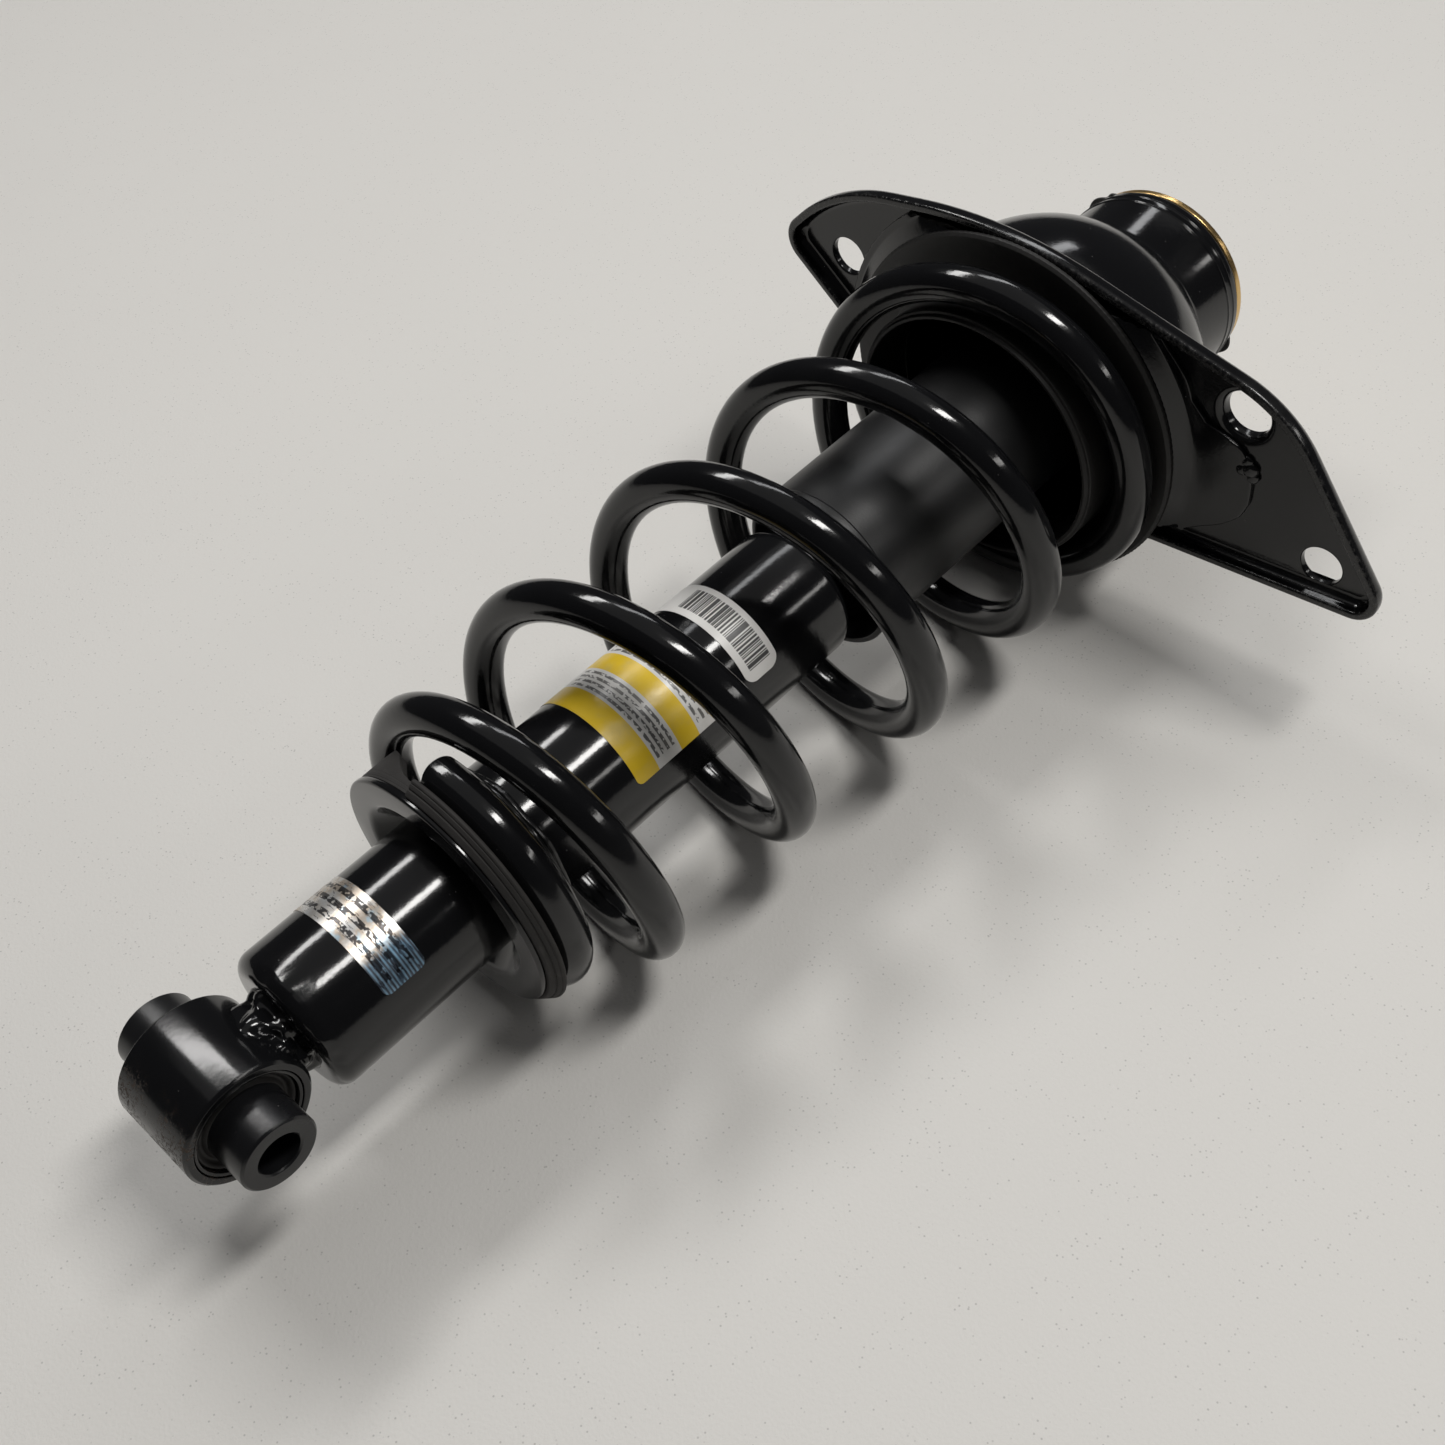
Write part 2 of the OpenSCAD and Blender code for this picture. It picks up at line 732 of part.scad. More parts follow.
module mount_rubber() {
    out = neck_bore_r - mount_shell_wall;
    lip = washer_d / 2;
    color([0.05, 0.05, 0.05])
        rotate_extrude()
            polygon([
                [mount_sleeve_r, mount_shell_low], [out, mount_shell_low], [out, neck_top],
                [lip, neck_top], [lip, washer_z], [mount_sleeve_r, washer_z]
            ]);
}

module mount_shell() {
    color([0.3, 0.3, 0.32])
        ring(neck_bore_r, neck_bore_r - mount_shell_wall, mount_shell_low, neck_top);
}

module plated_washer() {
    color([0.78, 0.62, 0.3]) ring(washer_d / 2, stud_r, washer_z, nut_z);
}

module rod_nut() {
    color([0.7, 0.6, 0.35]) hex_nut(nut_z, nut_h, stud_r);
}

// ---- Labels -------------------------------------------------------------

module foil_label() {
    color([0.75, 0.76, 0.78]) label_film(foil_z, foil_w, foil_az);
}

module banded_label() {
    color([0.9, 0.85, 0.4]) label_film(banded_z, banded_w, banded_az);
}

module bar_label() {
    color([0.92, 0.92, 0.92]) label_film(bars_z, bars_w, bars_az);
}

// ---- Nodes --------------------------------------------------------------

eye_ring();
eye_weld();
bush_shell();
bush_rubber();
bush_sleeve();
reserve_tube();
base_plug();
pressure_tube();
foot_valve();
rod_guide();
rod_seal();
lower_spring_seat();
seat_weld();
lower_isolator();
coil_spring();
upper_isolator();
piston_rod();
piston();
piston_nut();
rebound_stop();
bump_stop();
dust_shield();
upper_spring_seat();
mount_plate();
mount_dome();
rod_washer();
mount_sleeve();
mount_rubber();
mount_shell();
plated_washer();
rod_nut();
foil_label();
banded_label();
bar_label();
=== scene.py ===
"""Strut assembly: painted steel, rubber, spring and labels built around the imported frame.

The frame is in metres, +Z up the strut, +Y along the lower bush, origin in the bush's bore.
Shapes are worked out in millimetres, and piece() turns them into metres.
"""

import functools
import math
from types import SimpleNamespace

import bmesh
import bpy
import numpy as np
from bpy.props import FloatProperty, FloatVectorProperty, PointerProperty
from mathutils import Matrix, Vector
from mathutils.geometry import delaunay_2d_cdt


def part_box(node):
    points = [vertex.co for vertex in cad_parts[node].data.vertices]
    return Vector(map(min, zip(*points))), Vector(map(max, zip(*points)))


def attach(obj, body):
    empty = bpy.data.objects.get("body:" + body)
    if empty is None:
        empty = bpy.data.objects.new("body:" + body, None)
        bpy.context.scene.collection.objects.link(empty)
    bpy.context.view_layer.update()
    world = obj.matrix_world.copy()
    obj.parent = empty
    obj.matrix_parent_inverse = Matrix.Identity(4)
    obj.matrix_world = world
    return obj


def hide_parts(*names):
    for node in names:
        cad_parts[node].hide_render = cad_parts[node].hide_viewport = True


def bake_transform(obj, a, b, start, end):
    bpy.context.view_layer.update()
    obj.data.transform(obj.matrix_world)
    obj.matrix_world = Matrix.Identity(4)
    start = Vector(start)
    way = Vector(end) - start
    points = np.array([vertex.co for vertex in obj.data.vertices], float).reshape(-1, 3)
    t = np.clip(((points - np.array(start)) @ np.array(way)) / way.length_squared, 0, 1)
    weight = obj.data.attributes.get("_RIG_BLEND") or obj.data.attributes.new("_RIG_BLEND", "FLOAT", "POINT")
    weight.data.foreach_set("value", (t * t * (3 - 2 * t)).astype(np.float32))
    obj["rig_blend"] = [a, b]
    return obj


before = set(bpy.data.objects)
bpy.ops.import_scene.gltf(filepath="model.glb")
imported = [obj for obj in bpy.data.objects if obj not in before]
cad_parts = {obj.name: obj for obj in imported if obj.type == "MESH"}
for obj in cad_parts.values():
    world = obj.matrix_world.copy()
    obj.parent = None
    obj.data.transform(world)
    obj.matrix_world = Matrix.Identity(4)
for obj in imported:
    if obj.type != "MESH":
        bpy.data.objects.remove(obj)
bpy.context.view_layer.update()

bl_info = {
    "name": "Strut assembly",
    "version": (1, 0, 0),
    "blender": (4, 5, 0),
    "location": "View3D > Sidebar > Strut",
    "description": "Builds the visible pieces of a damper and spring strut",
    "category": "Object",
}

MM = 0.001
TURN = 2 * math.pi
UPPER = "upper_mount"
LOWER = "damper_tube"
BUSH = "bush_sleeve"


def extent(node):
    """Highest X, highest Y, lowest Z and highest Z of a CAD node, in millimetres."""
    lowest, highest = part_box(node)
    return highest[0] / MM, highest[1] / MM, lowest[2] / MM, highest[2] / MM


# ---- Sizes that the frame fixes ----------------------------------------------

EYE_R, EYE_HALF, _, _ = extent("eye_ring")
SHELL_R, _, _, _ = extent("bush_shell")
RUBBER_R, RUBBER_HALF, _, _ = extent("bush_rubber")
SLEEVE_R, SLEEVE_HALF, _, _ = extent("bush_sleeve")
TUBE_R, _, TUBE_LOW, TUBE_TOP = extent("reserve_tube")
SEAT_R, _, SEAT_LOW, CONE_TOP = extent("lower_spring_seat")
LOW_ISO_R, _, LOW_ISO_Z, _ = extent("lower_isolator")
TOP_ISO_R, _, TOP_ISO_LOW, TOP_ISO_Z = extent("upper_isolator")
SHIELD_R, _, SHIELD_LOW, SHIELD_TOP = extent("dust_shield")
_, _, _, PLATE_LOW = extent("upper_spring_seat")
_, _, LIP_LOW, COLLAR_TOP = extent("mount_plate")
DOME_R, _, _, NECK_TOP = extent("mount_dome")
WASHER_R, _, WASHER_LOW, WASHER_TOP = extent("plated_washer")
_, _, _, NUT_TOP = extent("rod_nut")
_, _, ROD_LOW, STUD_TOP = extent("piston_rod")
_, _, BUMP_LOW, BUMP_TOP = extent("bump_stop")


# ---- Sizes and colours that a user would change ------------------------------


def length(name, default, text):
    """A length property in metres, given here in millimetres."""
    return FloatProperty(name=name, default=default * MM, unit="LENGTH", description=text)


def tint(name, default, text):
    """A linear colour property."""
    return FloatVectorProperty(
        name=name, default=default, subtype="COLOR", size=3, min=0, max=1, description=text
    )


class StrutSizes(bpy.types.PropertyGroup):
    """Sizes of the modelled pieces."""

    wire_d: length("Wire", 12.5, "Diameter of the spring wire")
    coil_low: length("Lowest coil", 91.5, "Height of the lowest coil's centreline")
    coil_top: length("Highest coil", 328, "Height of the highest coil's centreline")
    coil_r_low: length("Lowest coil radius", 37, "Centreline radius of the coil on its seat")
    coil_r_one: length("Second coil radius", 50.5, "Centreline radius after the first turn")
    coil_r_mid: length("Middle coil radius", 55, "Centreline radius of the middle turns")
    coil_r_top: length("Top coil radius", 57, "Centreline radius under the upper isolator")
    turn_start: FloatProperty(name="First turn", default=-0.115, description="Where the wire starts")
    turn_end: FloatProperty(name="Last turn", default=5.62, description="Where the wire ends")
    sheet: length("Seat sheet", 2.5, "Sheet thickness of the spring seats and the dome")
    plate_t: length("Plate", 3, "Sheet thickness of the mount plate")
    lip_bend: length("Lip bend", 6, "Outer radius of the bend at the plate's rim")
    hub_r: length("Hub hole", 49, "Radius of the hole in the middle of the plate")
    tip_hole_r: length("Tip holes", 7, "Radius of the two bolt holes")
    corner_hole_r: length("Corner hole", 8, "Radius of the collared hole")
    collar_wall: length("Collar", 1.5, "Wall of the collar round the corner hole")
    shield_wall: length("Shield wall", 1.8, "Wall of the dust shield")
    neck_r: length("Neck", 35, "Radius of the neck above the dome")
    dome_z: length("Dome centre", 355, "Height of the dome's centre")
    mouth_r: length("Isolator mouth", 47.5, "Outer radius of the sleeve inside the top coil")
    stud_r: length("Stud", 5, "Radius of the threaded stud")
    film: length("Film", 0.12, "Thickness of the label film")


class StrutColours(bpy.types.PropertyGroup):
    """Colours of the finishes, as linear values."""

    paint: tint("Paint", (0.0038, 0.0039, 0.0044), "Gloss paint on the steel and the spring")
    satin: tint("Shield", (0.0068, 0.0069, 0.0074), "Moulded dust shield")
    rubber: tint("Rubber", (0.017, 0.0155, 0.0145), "Spring isolators and bushes")
    rust: tint("Rust", (0.058, 0.036, 0.024), "Scuffs through the paint")
    plating: tint("Plating", (0.72, 0.49, 0.21), "Yellow plated washer and nut")
    steel: tint("Steel", (0.46, 0.46, 0.47), "Bare and zinc plated steel")
    foam: tint("Foam", (0.55, 0.45, 0.26), "Bump stop")
    band: tint("Band", (0.72, 0.49, 0.02), "Coloured bands of the label")
    paper: tint("Paper", (0.66, 0.65, 0.63), "White label stock")
    table: tint("Table", (0.74, 0.725, 0.695), "Table top")


def sizes():
    """The sizes in use: lengths in millimetres, and turns as they are."""
    group = bpy.context.scene.strut_sizes
    names = StrutSizes.__annotations__
    return SimpleNamespace(**{n: getattr(group, n) / (1 if n.startswith("turn_") else MM) for n in names})


def colours():
    """The colours in use."""
    return bpy.context.scene.strut_colours


# ---- Surfaces ------------------------------------------------------------------


def ease(x):
    """Smooth step: 3x^2 - 2x^3 with x held between 0 and 1."""
    k = np.clip(x, 0, 1)
    return k * k * (3 - 2 * k)


def bump(x):
    """Smooth hill: 1 at x = 0, falling as a squared parabola to 0 at x = -1 and x = 1."""
    return np.clip(1 - x * x, 0, None) ** 2


def turned(angle):
    """An angle brought between minus half a turn and half a turn."""
    return (angle + math.pi) % TURN - math.pi


def hill_at(a, azimuth, wide):
    """Smooth hill about an azimuth, both it and its half width in degrees."""
    return bump(turned(a - math.radians(azimuth)) / math.radians(wide))


def polar(r, a, z):
    """Points (r cos a, r sin a, z)."""
    return np.stack(np.broadcast_arrays(r * np.cos(a), r * np.sin(a), z), -1)


def round_angles(sides):
    """Equal steps round one turn."""
    return np.arange(sides) * TURN / sides


def grid_faces(rows, cols, close_rows=False):
    """Quads over a grid whose rows are rings; the last row joins the first where asked."""
    i, j = np.meshgrid(np.arange(rows - (not close_rows)), np.arange(cols), indexing="ij")
    up, along = (i + 1) % rows, (j + 1) % cols
    corners = [i * cols + j, i * cols + along, up * cols + along, up * cols + j]
    return np.stack(corners, -1).reshape(-1, 4).tolist()


def capped(grid):
    """Closed part from a grid of points (rows, cols, 3) whose rows are rings, with both ends filled."""
    rows, cols = grid.shape[:2]
    ends = [list(range(cols)), [(rows - 1) * cols + k for k in range(cols)]]
    return grid.reshape(-1, 3), grid_faces(rows, cols) + ends


def fillet(before, corner, after, radius, steps):
    """Arc of the given radius that touches both sides of a corner, as steps + 1 points."""
    u = (before - corner) / np.linalg.norm(before - corner)
    v = (after - corner) / np.linalg.norm(after - corner)
    half = math.acos(np.clip(u @ v, -1, 1)) / 2
    if radius <= 0 or half > math.pi / 2 - 1e-3:
        return corner[None]
    centre = corner + (u + v) / np.linalg.norm(u + v) * radius / math.sin(half)
    p, q = corner + u * radius / math.tan(half) - centre, corner + v * radius / math.tan(half) - centre
    start = math.atan2(p[1], p[0])
    sweep = math.atan2(p[0] * q[1] - p[1] * q[0], p @ q)
    a = start + sweep * np.linspace(0, 1, steps + 1)
    return centre + radius * np.stack([np.cos(a), np.sin(a)], -1)


def rounded(corners, steps=6, closed=True):
    """Outline through corners (x, y, radius), each rounded by its own fillet arc."""
    c = np.array(corners, float)
    p, n = c[:, :2], len(c)
    ends = [] if closed else [0, n - 1]
    parts = [
        p[i : i + 1] if i in ends else fillet(p[i - 1], p[i], p[(i + 1) % n], c[i, 2], steps)
        for i in range(n)
    ]
    return np.concatenate(parts)


def both_ends(corners):
    """Corners at one end of a turned part, and the same in reverse at the other end."""
    return corners + [(r, -y, radius) for r, y, radius in reversed(corners)]


def inset(corners, d):
    """The corners moved inward by d along their bisectors; each radius follows its bend."""
    c = np.array(corners, float)
    u = np.roll(c, 1, 0)[:, :2] - c[:, :2]
    v = np.roll(c, -1, 0)[:, :2] - c[:, :2]
    u /= np.linalg.norm(u, axis=1)[:, None]
    v /= np.linalg.norm(v, axis=1)[:, None]
    bend = np.where(v[:, 0] * u[:, 1] - v[:, 1] * u[:, 0] > 0, 1.0, -1.0)
    half = np.arccos((u * v).sum(1)) / 2
    way = (u + v) / np.linalg.norm(u + v, axis=1)[:, None]
    moved = c[:, :2] + way * (bend * d / np.sin(half))[:, None]
    return np.column_stack([moved, np.maximum(c[:, 2] - bend * d, 1)])


def dense(line, step, closed=True):
    """The same outline with points no further apart than step."""
    ring = np.vstack([line, line[:1]]) if closed else line
    parts = []
    for a, b in zip(ring[:-1], ring[1:]):
        n = max(1, math.ceil(np.linalg.norm(b - a) / step))
        parts.append(a + (b - a) * (np.arange(n) / n)[:, None])
    return np.concatenate(parts + ([] if closed else [ring[-1:]]))


def revolve(profile, sides=128, centre=(0, 0), closed=True, shape=None):
    """Surface of revolution about Z: (cx + r cos a, cy + r sin a, z) for every profile point (r, z).

    shape(r, z, a) may return changed radii and heights, as whole arrays.
    """
    r, a = np.meshgrid(profile[:, 0], round_angles(sides), indexing="ij")
    z = np.repeat(profile[:, 1:2], sides, 1)
    if shape is not None:
        r, z = shape(r, z, a)
    points = polar(r, a, z) + (*centre, 0)
    return points.reshape(-1, 3), grid_faces(len(profile), sides, closed)


def revolve_y(profile):
    """Surface of revolution about Y: the one about Z with its Y and Z exchanged."""
    points, faces = revolve(profile)
    return points[:, [0, 2, 1]], faces


def joined(*parts):
    """Several parts as one list of points and faces."""
    points, faces, count = [], [], 0
    for p, f in parts:
        points.append(p)
        faces += [[k + count for k in face] for face in f]
        count += len(p)
    return np.concatenate(points), faces


def place(name, data):
    """A new object in the scene for a mesh, lamp or camera."""
    obj = bpy.data.objects.new(name, data)
    bpy.context.scene.collection.objects.link(obj)
    return obj


def piece(name, part, slot, body, node, sharp=34, finish=None):
    """A new mesh object riding on a body in place of a CAD node.

    Seams and poles are merged, faces turned outward, and edges over sharp degrees kept crisp.
    The finish is the slot's own unless another is named.
    """
    points, faces = part
    mesh = bpy.data.meshes.new(name)
    mesh.from_pydata((points * MM).tolist(), [], faces)
    work = bmesh.new()
    work.from_mesh(mesh)
    bmesh.ops.remove_doubles(work, verts=work.verts, dist=1e-6)
    bmesh.ops.dissolve_degenerate(work, edges=work.edges, dist=1e-7)
    bmesh.ops.recalc_face_normals(work, faces=work.faces)
    work.to_mesh(mesh)
    work.free()
    mesh.shade_smooth()
    mesh.set_sharp_from_angle(angle=math.radians(sharp))
    mesh.materials.append(finishes()[finish or slot])
    obj = place(name, mesh)
    if body:
        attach(obj, body)
    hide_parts(node)
    return obj


def dress(finish, *nodes):
    """Gives carried-over CAD nodes their finish."""
    for node in nodes:
        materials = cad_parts[node].data.materials
        materials.clear()
        materials.append(finishes()[finish])


# ---- Shader maths --------------------------------------------------------------


class Value:
    """A socket in a node tree; arithmetic on it adds Math nodes."""

    def __init__(self, board, socket):
        self.board, self.socket = board, socket

    def maths(self, operation, *others, first=True):
        """One Math node on this value and the others."""
        terms = [self, *others] if first else [*others, self]
        return self.board.add("ShaderNodeMath", {"operation": operation}, dict(enumerate(terms)))

    def __add__(self, other):
        return self.maths("ADD", other)

    def __sub__(self, other):
        return self.maths("SUBTRACT", other)

    def __rsub__(self, other):
        return self.maths("SUBTRACT", other, first=False)

    def __mul__(self, other):
        return self.maths("MULTIPLY", other)

    def __gt__(self, other):
        return self.maths("GREATER_THAN", other)

    def __lt__(self, other):
        return self.maths("LESS_THAN", other)

    __radd__ = __add__
    __rmul__ = __mul__

    def between(self, a, b):
        """1 where the value lies between a and b."""
        return (self > a) * (self < b)

    def rise(self, a, b):
        """0 on a's side, 1 on b's side, smooth between them."""
        settings = {"interpolation_type": "SMOOTHSTEP"}
        return self.board.add("ShaderNodeMapRange", settings, {"Value": self, "From Min": a, "From Max": b})


class Board:
    """A material's node tree with a Principled shader."""

    def __init__(self, name):
        self.material = bpy.data.materials.new(name)
        self.material.use_nodes = True
        self.tree = self.material.node_tree
        self.shader = self.tree.nodes["Principled BSDF"]
        self.coords = self.add("ShaderNodeTexCoord", {}, {}, "Object")

    def add(self, kind, settings, inputs, output=0):
        """A node of a kind: its settings first, then the values or links of its sockets."""
        node = self.tree.nodes.new(kind)
        for key, value in settings.items():
            if key == "stops":
                self.set_stops(node.color_ramp, value)
            else:
                setattr(node, key, value)
        for key, value in inputs.items():
            self.feed(node.inputs[key], value)
        return Value(self, node.outputs[output])

    @staticmethod
    def set_stops(ramp, stops):
        """Puts a colour ramp's stops in place, given as (position, colour)."""
        while len(ramp.elements) < len(stops):
            ramp.elements.new(1)
        for element, (position, colour) in zip(ramp.elements, stops):
            element.position = position
            element.color = (*colour, 1)

    def feed(self, socket, value):
        """Links a Value, or sets a number or colour."""
        if isinstance(value, Value):
            self.tree.links.new(value.socket, socket)
        elif socket.type == "RGBA":
            socket.default_value = (*value, 1)
        else:
            socket.default_value = value

    def set(self, **inputs):
        """Feeds the shader; underscores in the names stand for spaces."""
        for key, value in inputs.items():
            self.feed(self.shader.inputs[key.replace("_", " ")], value)

    def axis(self, name):
        """One coordinate of the object: X, Y or Z."""
        return self.add("ShaderNodeSeparateXYZ", {}, {0: self.coords}, name)

    def stretched(self, scale):
        """The object's coordinates stretched along each axis."""
        return self.add("ShaderNodeMapping", {}, {"Vector": self.coords, "Scale": scale})

    def noise(self, scale, detail=3, roughness=0.55, where=None, distortion=0.0):
        """Noise about 0.5, with features of 1 / scale metres."""
        inputs = {"Vector": where or self.coords, "Scale": scale, "Detail": detail, "Roughness": roughness}
        return self.add("ShaderNodeTexNoise", {}, {**inputs, "Distortion": distortion}, "Fac")

    def cells(self, scale, where=None):
        """Distance to the nearest of scattered points."""
        return self.add("ShaderNodeTexVoronoi", {}, {"Vector": where or self.coords, "Scale": scale})

    def mix(self, share, a, b):
        """Colour a where share is 0 and b where it is 1."""
        return self.add("ShaderNodeMix", {"data_type": "RGBA"}, {"Factor": share, 6: a, 7: b}, 2)

    def bumpy(self, height, depth):
        """Normal from a height between 0 and 1 that stands for depth metres."""
        return self.add("ShaderNodeBump", {}, {"Height": height, "Distance": depth}, "Normal")


def lighter(colour, by):
    """A colour times a number."""
    return tuple(min(1, c * by) for c in colour)


# ---- Finishes ------------------------------------------------------------------


def painted(name, colour, roughness=0.1, peel=1.0, dust=1.0, extra=None):
    """Sprayed and baked gloss paint: orange peel, faint mottling, settled dust and small nicks.

    extra(board) may return (mask, colour) for scuffs through the paint; on the plate it is a painted
    highlight along the lip's edge, mixed with worn specks.
    """
    b = Board(name)
    mottle = b.noise(42, 4)
    peeling = b.noise(520, 2)
    fine = b.noise(2600, 2)
    speck = b.cells(310).rise(0.075, 0.03) * b.noise(90, 2).rise(0.52, 0.62)
    smear = b.noise(26, 5, where=b.stretched((1, 1, 0.35)), distortion=0.6).rise(0.5, 0.78)
    base = b.mix(mottle, colour, lighter(colour, 1.6))
    base = b.mix(smear * (0.14 * dust), base, (0.05, 0.049, 0.048))
    base = b.mix(speck * (0.5 * dust), base, (0.16, 0.155, 0.15))
    rough = mottle * 0.04 + smear * (0.12 * dust) + speck * 0.3 + roughness
    height = peeling * 0.8 + fine * 0.2 + speck * 0.35
    if extra is not None:
        mask, scuff_and_highlight = extra(b)
        # the extra colour is rust on the eye ring, and a painted highlight with wear specks on the plate's
        # lip
        base = b.mix(mask, base, scuff_and_highlight)
        rough = rough + mask * 0.5
        height = height - mask * 1.2
    b.set(Base_Color=base, Roughness=rough, Normal=b.bumpy(height, 0.00003 * peel))
    return b.material


def rubbery(name, colour, roughness=0.62, grain=1.0):
    """Moulded rubber: brown-black, fine grain, chalky bloom and scuffed ridges."""
    b = Board(name)
    bloom = b.noise(38, 5, 0.62)
    grainy = b.noise(1900, 3)
    rub = b.noise(120, 4, where=b.stretched((1, 1, 5)), distortion=0.4).rise(0.56, 0.74)
    base = b.mix(bloom.rise(0.35, 0.75), colour, lighter(colour, 1.75))
    base = b.mix(rub * 0.4, base, lighter(colour, 2.6))
    rough = bloom * 0.16 + roughness - rub * 0.12
    b.set(Base_Color=base, Roughness=rough, Normal=b.bumpy(grainy * 0.7 + rub * 0.6, 0.00007 * grain))
    return b.material


def moulded(name, colour):
    """Satin moulded plastic with handling marks and fine scratches."""
    b = Board(name)
    cloud = b.noise(22, 4)
    grain = b.noise(1500, 2)
    marks = b.noise(60, 6, 0.7, where=b.stretched((1, 1, 0.4)), distortion=1.2).rise(0.6, 0.72)
    scratch = b.cells(95, where=b.stretched((7, 7, 0.7))).rise(0.05, 0.01)
    scratch = scratch * b.noise(30, 2).rise(0.52, 0.6)
    base = b.mix(cloud, lighter(colour, 0.8), lighter(colour, 1.35))
    base = b.mix(marks * 0.25 + scratch * 0.3, base, (0.06, 0.06, 0.062))
    normal = b.bumpy(grain * 0.5 + marks * 0.25 - scratch * 0.7, 0.00006)
    b.set(Base_Color=base, Roughness=cloud * 0.1 + 0.36 + marks * 0.16, Normal=normal)
    return b.material


def metal(name, colour, roughness=0.3, brushed=0.0, stain=0.2):
    """Plated or machined metal with tool marks and dull patches."""
    b = Board(name)
    patch = b.noise(55, 4)
    lines = b.noise(900, 3, where=b.stretched((1, 1, 1 + 12 * brushed)))
    dull = patch.rise(0.45, 0.75)
    base = b.mix(dull * stain, colour, lighter(colour, 0.45))
    rough = lines * 0.12 + roughness - 0.06 + dull * 0.18
    b.set(Base_Color=base, Metallic=1.0, Roughness=rough, Normal=b.bumpy(lines, 0.00003))
    return b.material


def foamy(name, colour):
    """Closed-cell foam: fine pores in a warm matte body, the pores painted darker as painted shade in the
    pits.
    """
    b = Board(name)
    pore = b.cells(900).rise(0.02, 0.3)
    base = b.mix(b.noise(40, 3), lighter(colour, 0.8), colour)
    # pores painted darker: painted shade in the pits
    base = b.mix(pore, lighter(colour, 0.55), base)
    b.set(Base_Color=base, Roughness=0.85, Normal=b.bumpy(pore, 0.0002))
    return b.material


def ring_scuff(b):
    """Fine rust speckle along the underside of the eye ring, where it was set down."""
    patch = b.noise(760, 6, 0.75, distortion=0.4).rise(0.5, 0.58)
    under = b.axis("Z").rise(-9 * MM, -16 * MM)
    edge = b.noise(90, 3).rise(0.4, 0.58)
    return patch * under * edge, colours().rust


def lip_edge_wear_and_highlight(b):
    """Painted highlight along the lower edge of the plate's lip, broken into specks that also stand for dust
    and worn paint.
    """
    line = b.axis("Z").rise((LIP_LOW + 1.5) * MM, (LIP_LOW + 0.3) * MM)
    patch = b.noise(620, 5, 0.75).rise(0.44, 0.66)
    # lighter grey along the lip's edge: painted highlight mixed with dust and wear specks
    return line * patch * 0.4, (0.085, 0.083, 0.08)


def along_tube(b):
    """Distance round the tube from the front, and height, both in millimetres."""
    return b.axis("Y").maths("ARCTAN2", b.axis("X")) * TUBE_R, b.axis("Z") * (1 / MM)


def label_rules(b, across, height, rows, start, stop, thick):
    """Thin broken rules, one for each height in rows, between two places round the tube."""
    breaks = b.noise(640, 1, where=b.stretched((1, 1, 1.4))).rise(0.42, 0.46)
    mask = sum(height.between(row - thick / 2, row + thick / 2) for row in rows)
    return mask * breaks * across.between(start, stop)


def banded_label(name):
    """White stock with two coloured bands and fine broken rules between them."""
    c = colours()
    b = Board(name)
    across, height = along_tube(b)
    low = extent("banded_label")[2]
    bands = height.between(low, low + 8.2) + height.between(low + 17.4, low + 24.8)
    rows = [low + row for row in (9.7, 11.7, 13.7, 15.7, 26.4, 28.4, 30.4, 32.4)]
    rules = label_rules(b, across, height, rows, -16, 25, 1.05)
    soil = b.noise(120, 5).rise(0.45, 0.8)
    base = b.mix(bands, c.paper, c.band)
    base = b.mix(rules * 0.86, base, (0.03, 0.03, 0.03))
    base = b.mix(soil * 0.3, base, (0.30, 0.28, 0.23))
    b.set(Base_Color=base, Roughness=soil * 0.2 + 0.3, Normal=b.bumpy(b.noise(300, 3), 0.00006))
    return b.material


def bar_label(name):
    """White stock with a row of plain upright bars of uneven width."""
    c = colours()
    b = Board(name)
    across, height = along_tube(b)
    low = extent("bar_label")[2]
    one_way = {"noise_dimensions": "1D"}
    bar = b.add("ShaderNodeTexNoise", one_way, {"W": across, "Scale": 1.7, "Detail": 0.0}, "Fac")
    bars = bar.rise(0.455, 0.475) * across.between(-9, 24) * height.between(low + 2.6, low + 11.4)
    soil = b.noise(110, 4)
    base = b.mix(soil.rise(0.5, 0.9) * 0.25, lighter(c.paper, 1.12), (0.5, 0.49, 0.46))
    base = b.mix(bars * 0.93, base, (0.015, 0.015, 0.016))
    b.set(Base_Color=base, Roughness=soil * 0.1 + 0.32, Normal=b.bumpy(b.noise(240, 2), 0.00004))
    return b.material


def foil_label(name):
    """Silver foil: drifting rainbow tints, a blue striped patch at one end and fine ruled rows."""
    b = Board(name)
    across, height = along_tube(b)
    low = extent("foil_label")[2]
    stops = [(0.3, (0.72, 0.74, 0.76)), (0.46, (0.62, 0.60, 0.57)), (0.55, (0.50, 0.42, 0.34)),
             (0.64, (0.40, 0.52, 0.60)), (0.8, (0.75, 0.76, 0.78))]
    tints = b.add("ShaderNodeValToRGB", {"stops": stops}, {"Fac": b.noise(120, 4, 0.6)})
    patch = across.rise(13, 16.5)
    stripes = (height * 5.6).maths("SINE").rise(-0.3, 0.4)
    weave = b.noise(300, 2, where=b.stretched((1, 1, 4))).rise(0.3, 0.55)
    blue = b.mix(stripes * weave, (0.015, 0.045, 0.09), (0.22, 0.42, 0.60))
    base = b.mix(patch * 0.85, tints, blue)
    rules = label_rules(b, across, height, [low + 3.2, low + 7.0, low + 10.9], -18, 22, 1.9)
    base = b.mix(rules * 0.9, base, (0.012, 0.012, 0.016))
    normal = b.bumpy(b.noise(260, 3), 0.0001)
    b.set(Base_Color=base, Metallic=0.82, Roughness=weave * 0.12 + 0.24, Normal=normal)
    return b.material


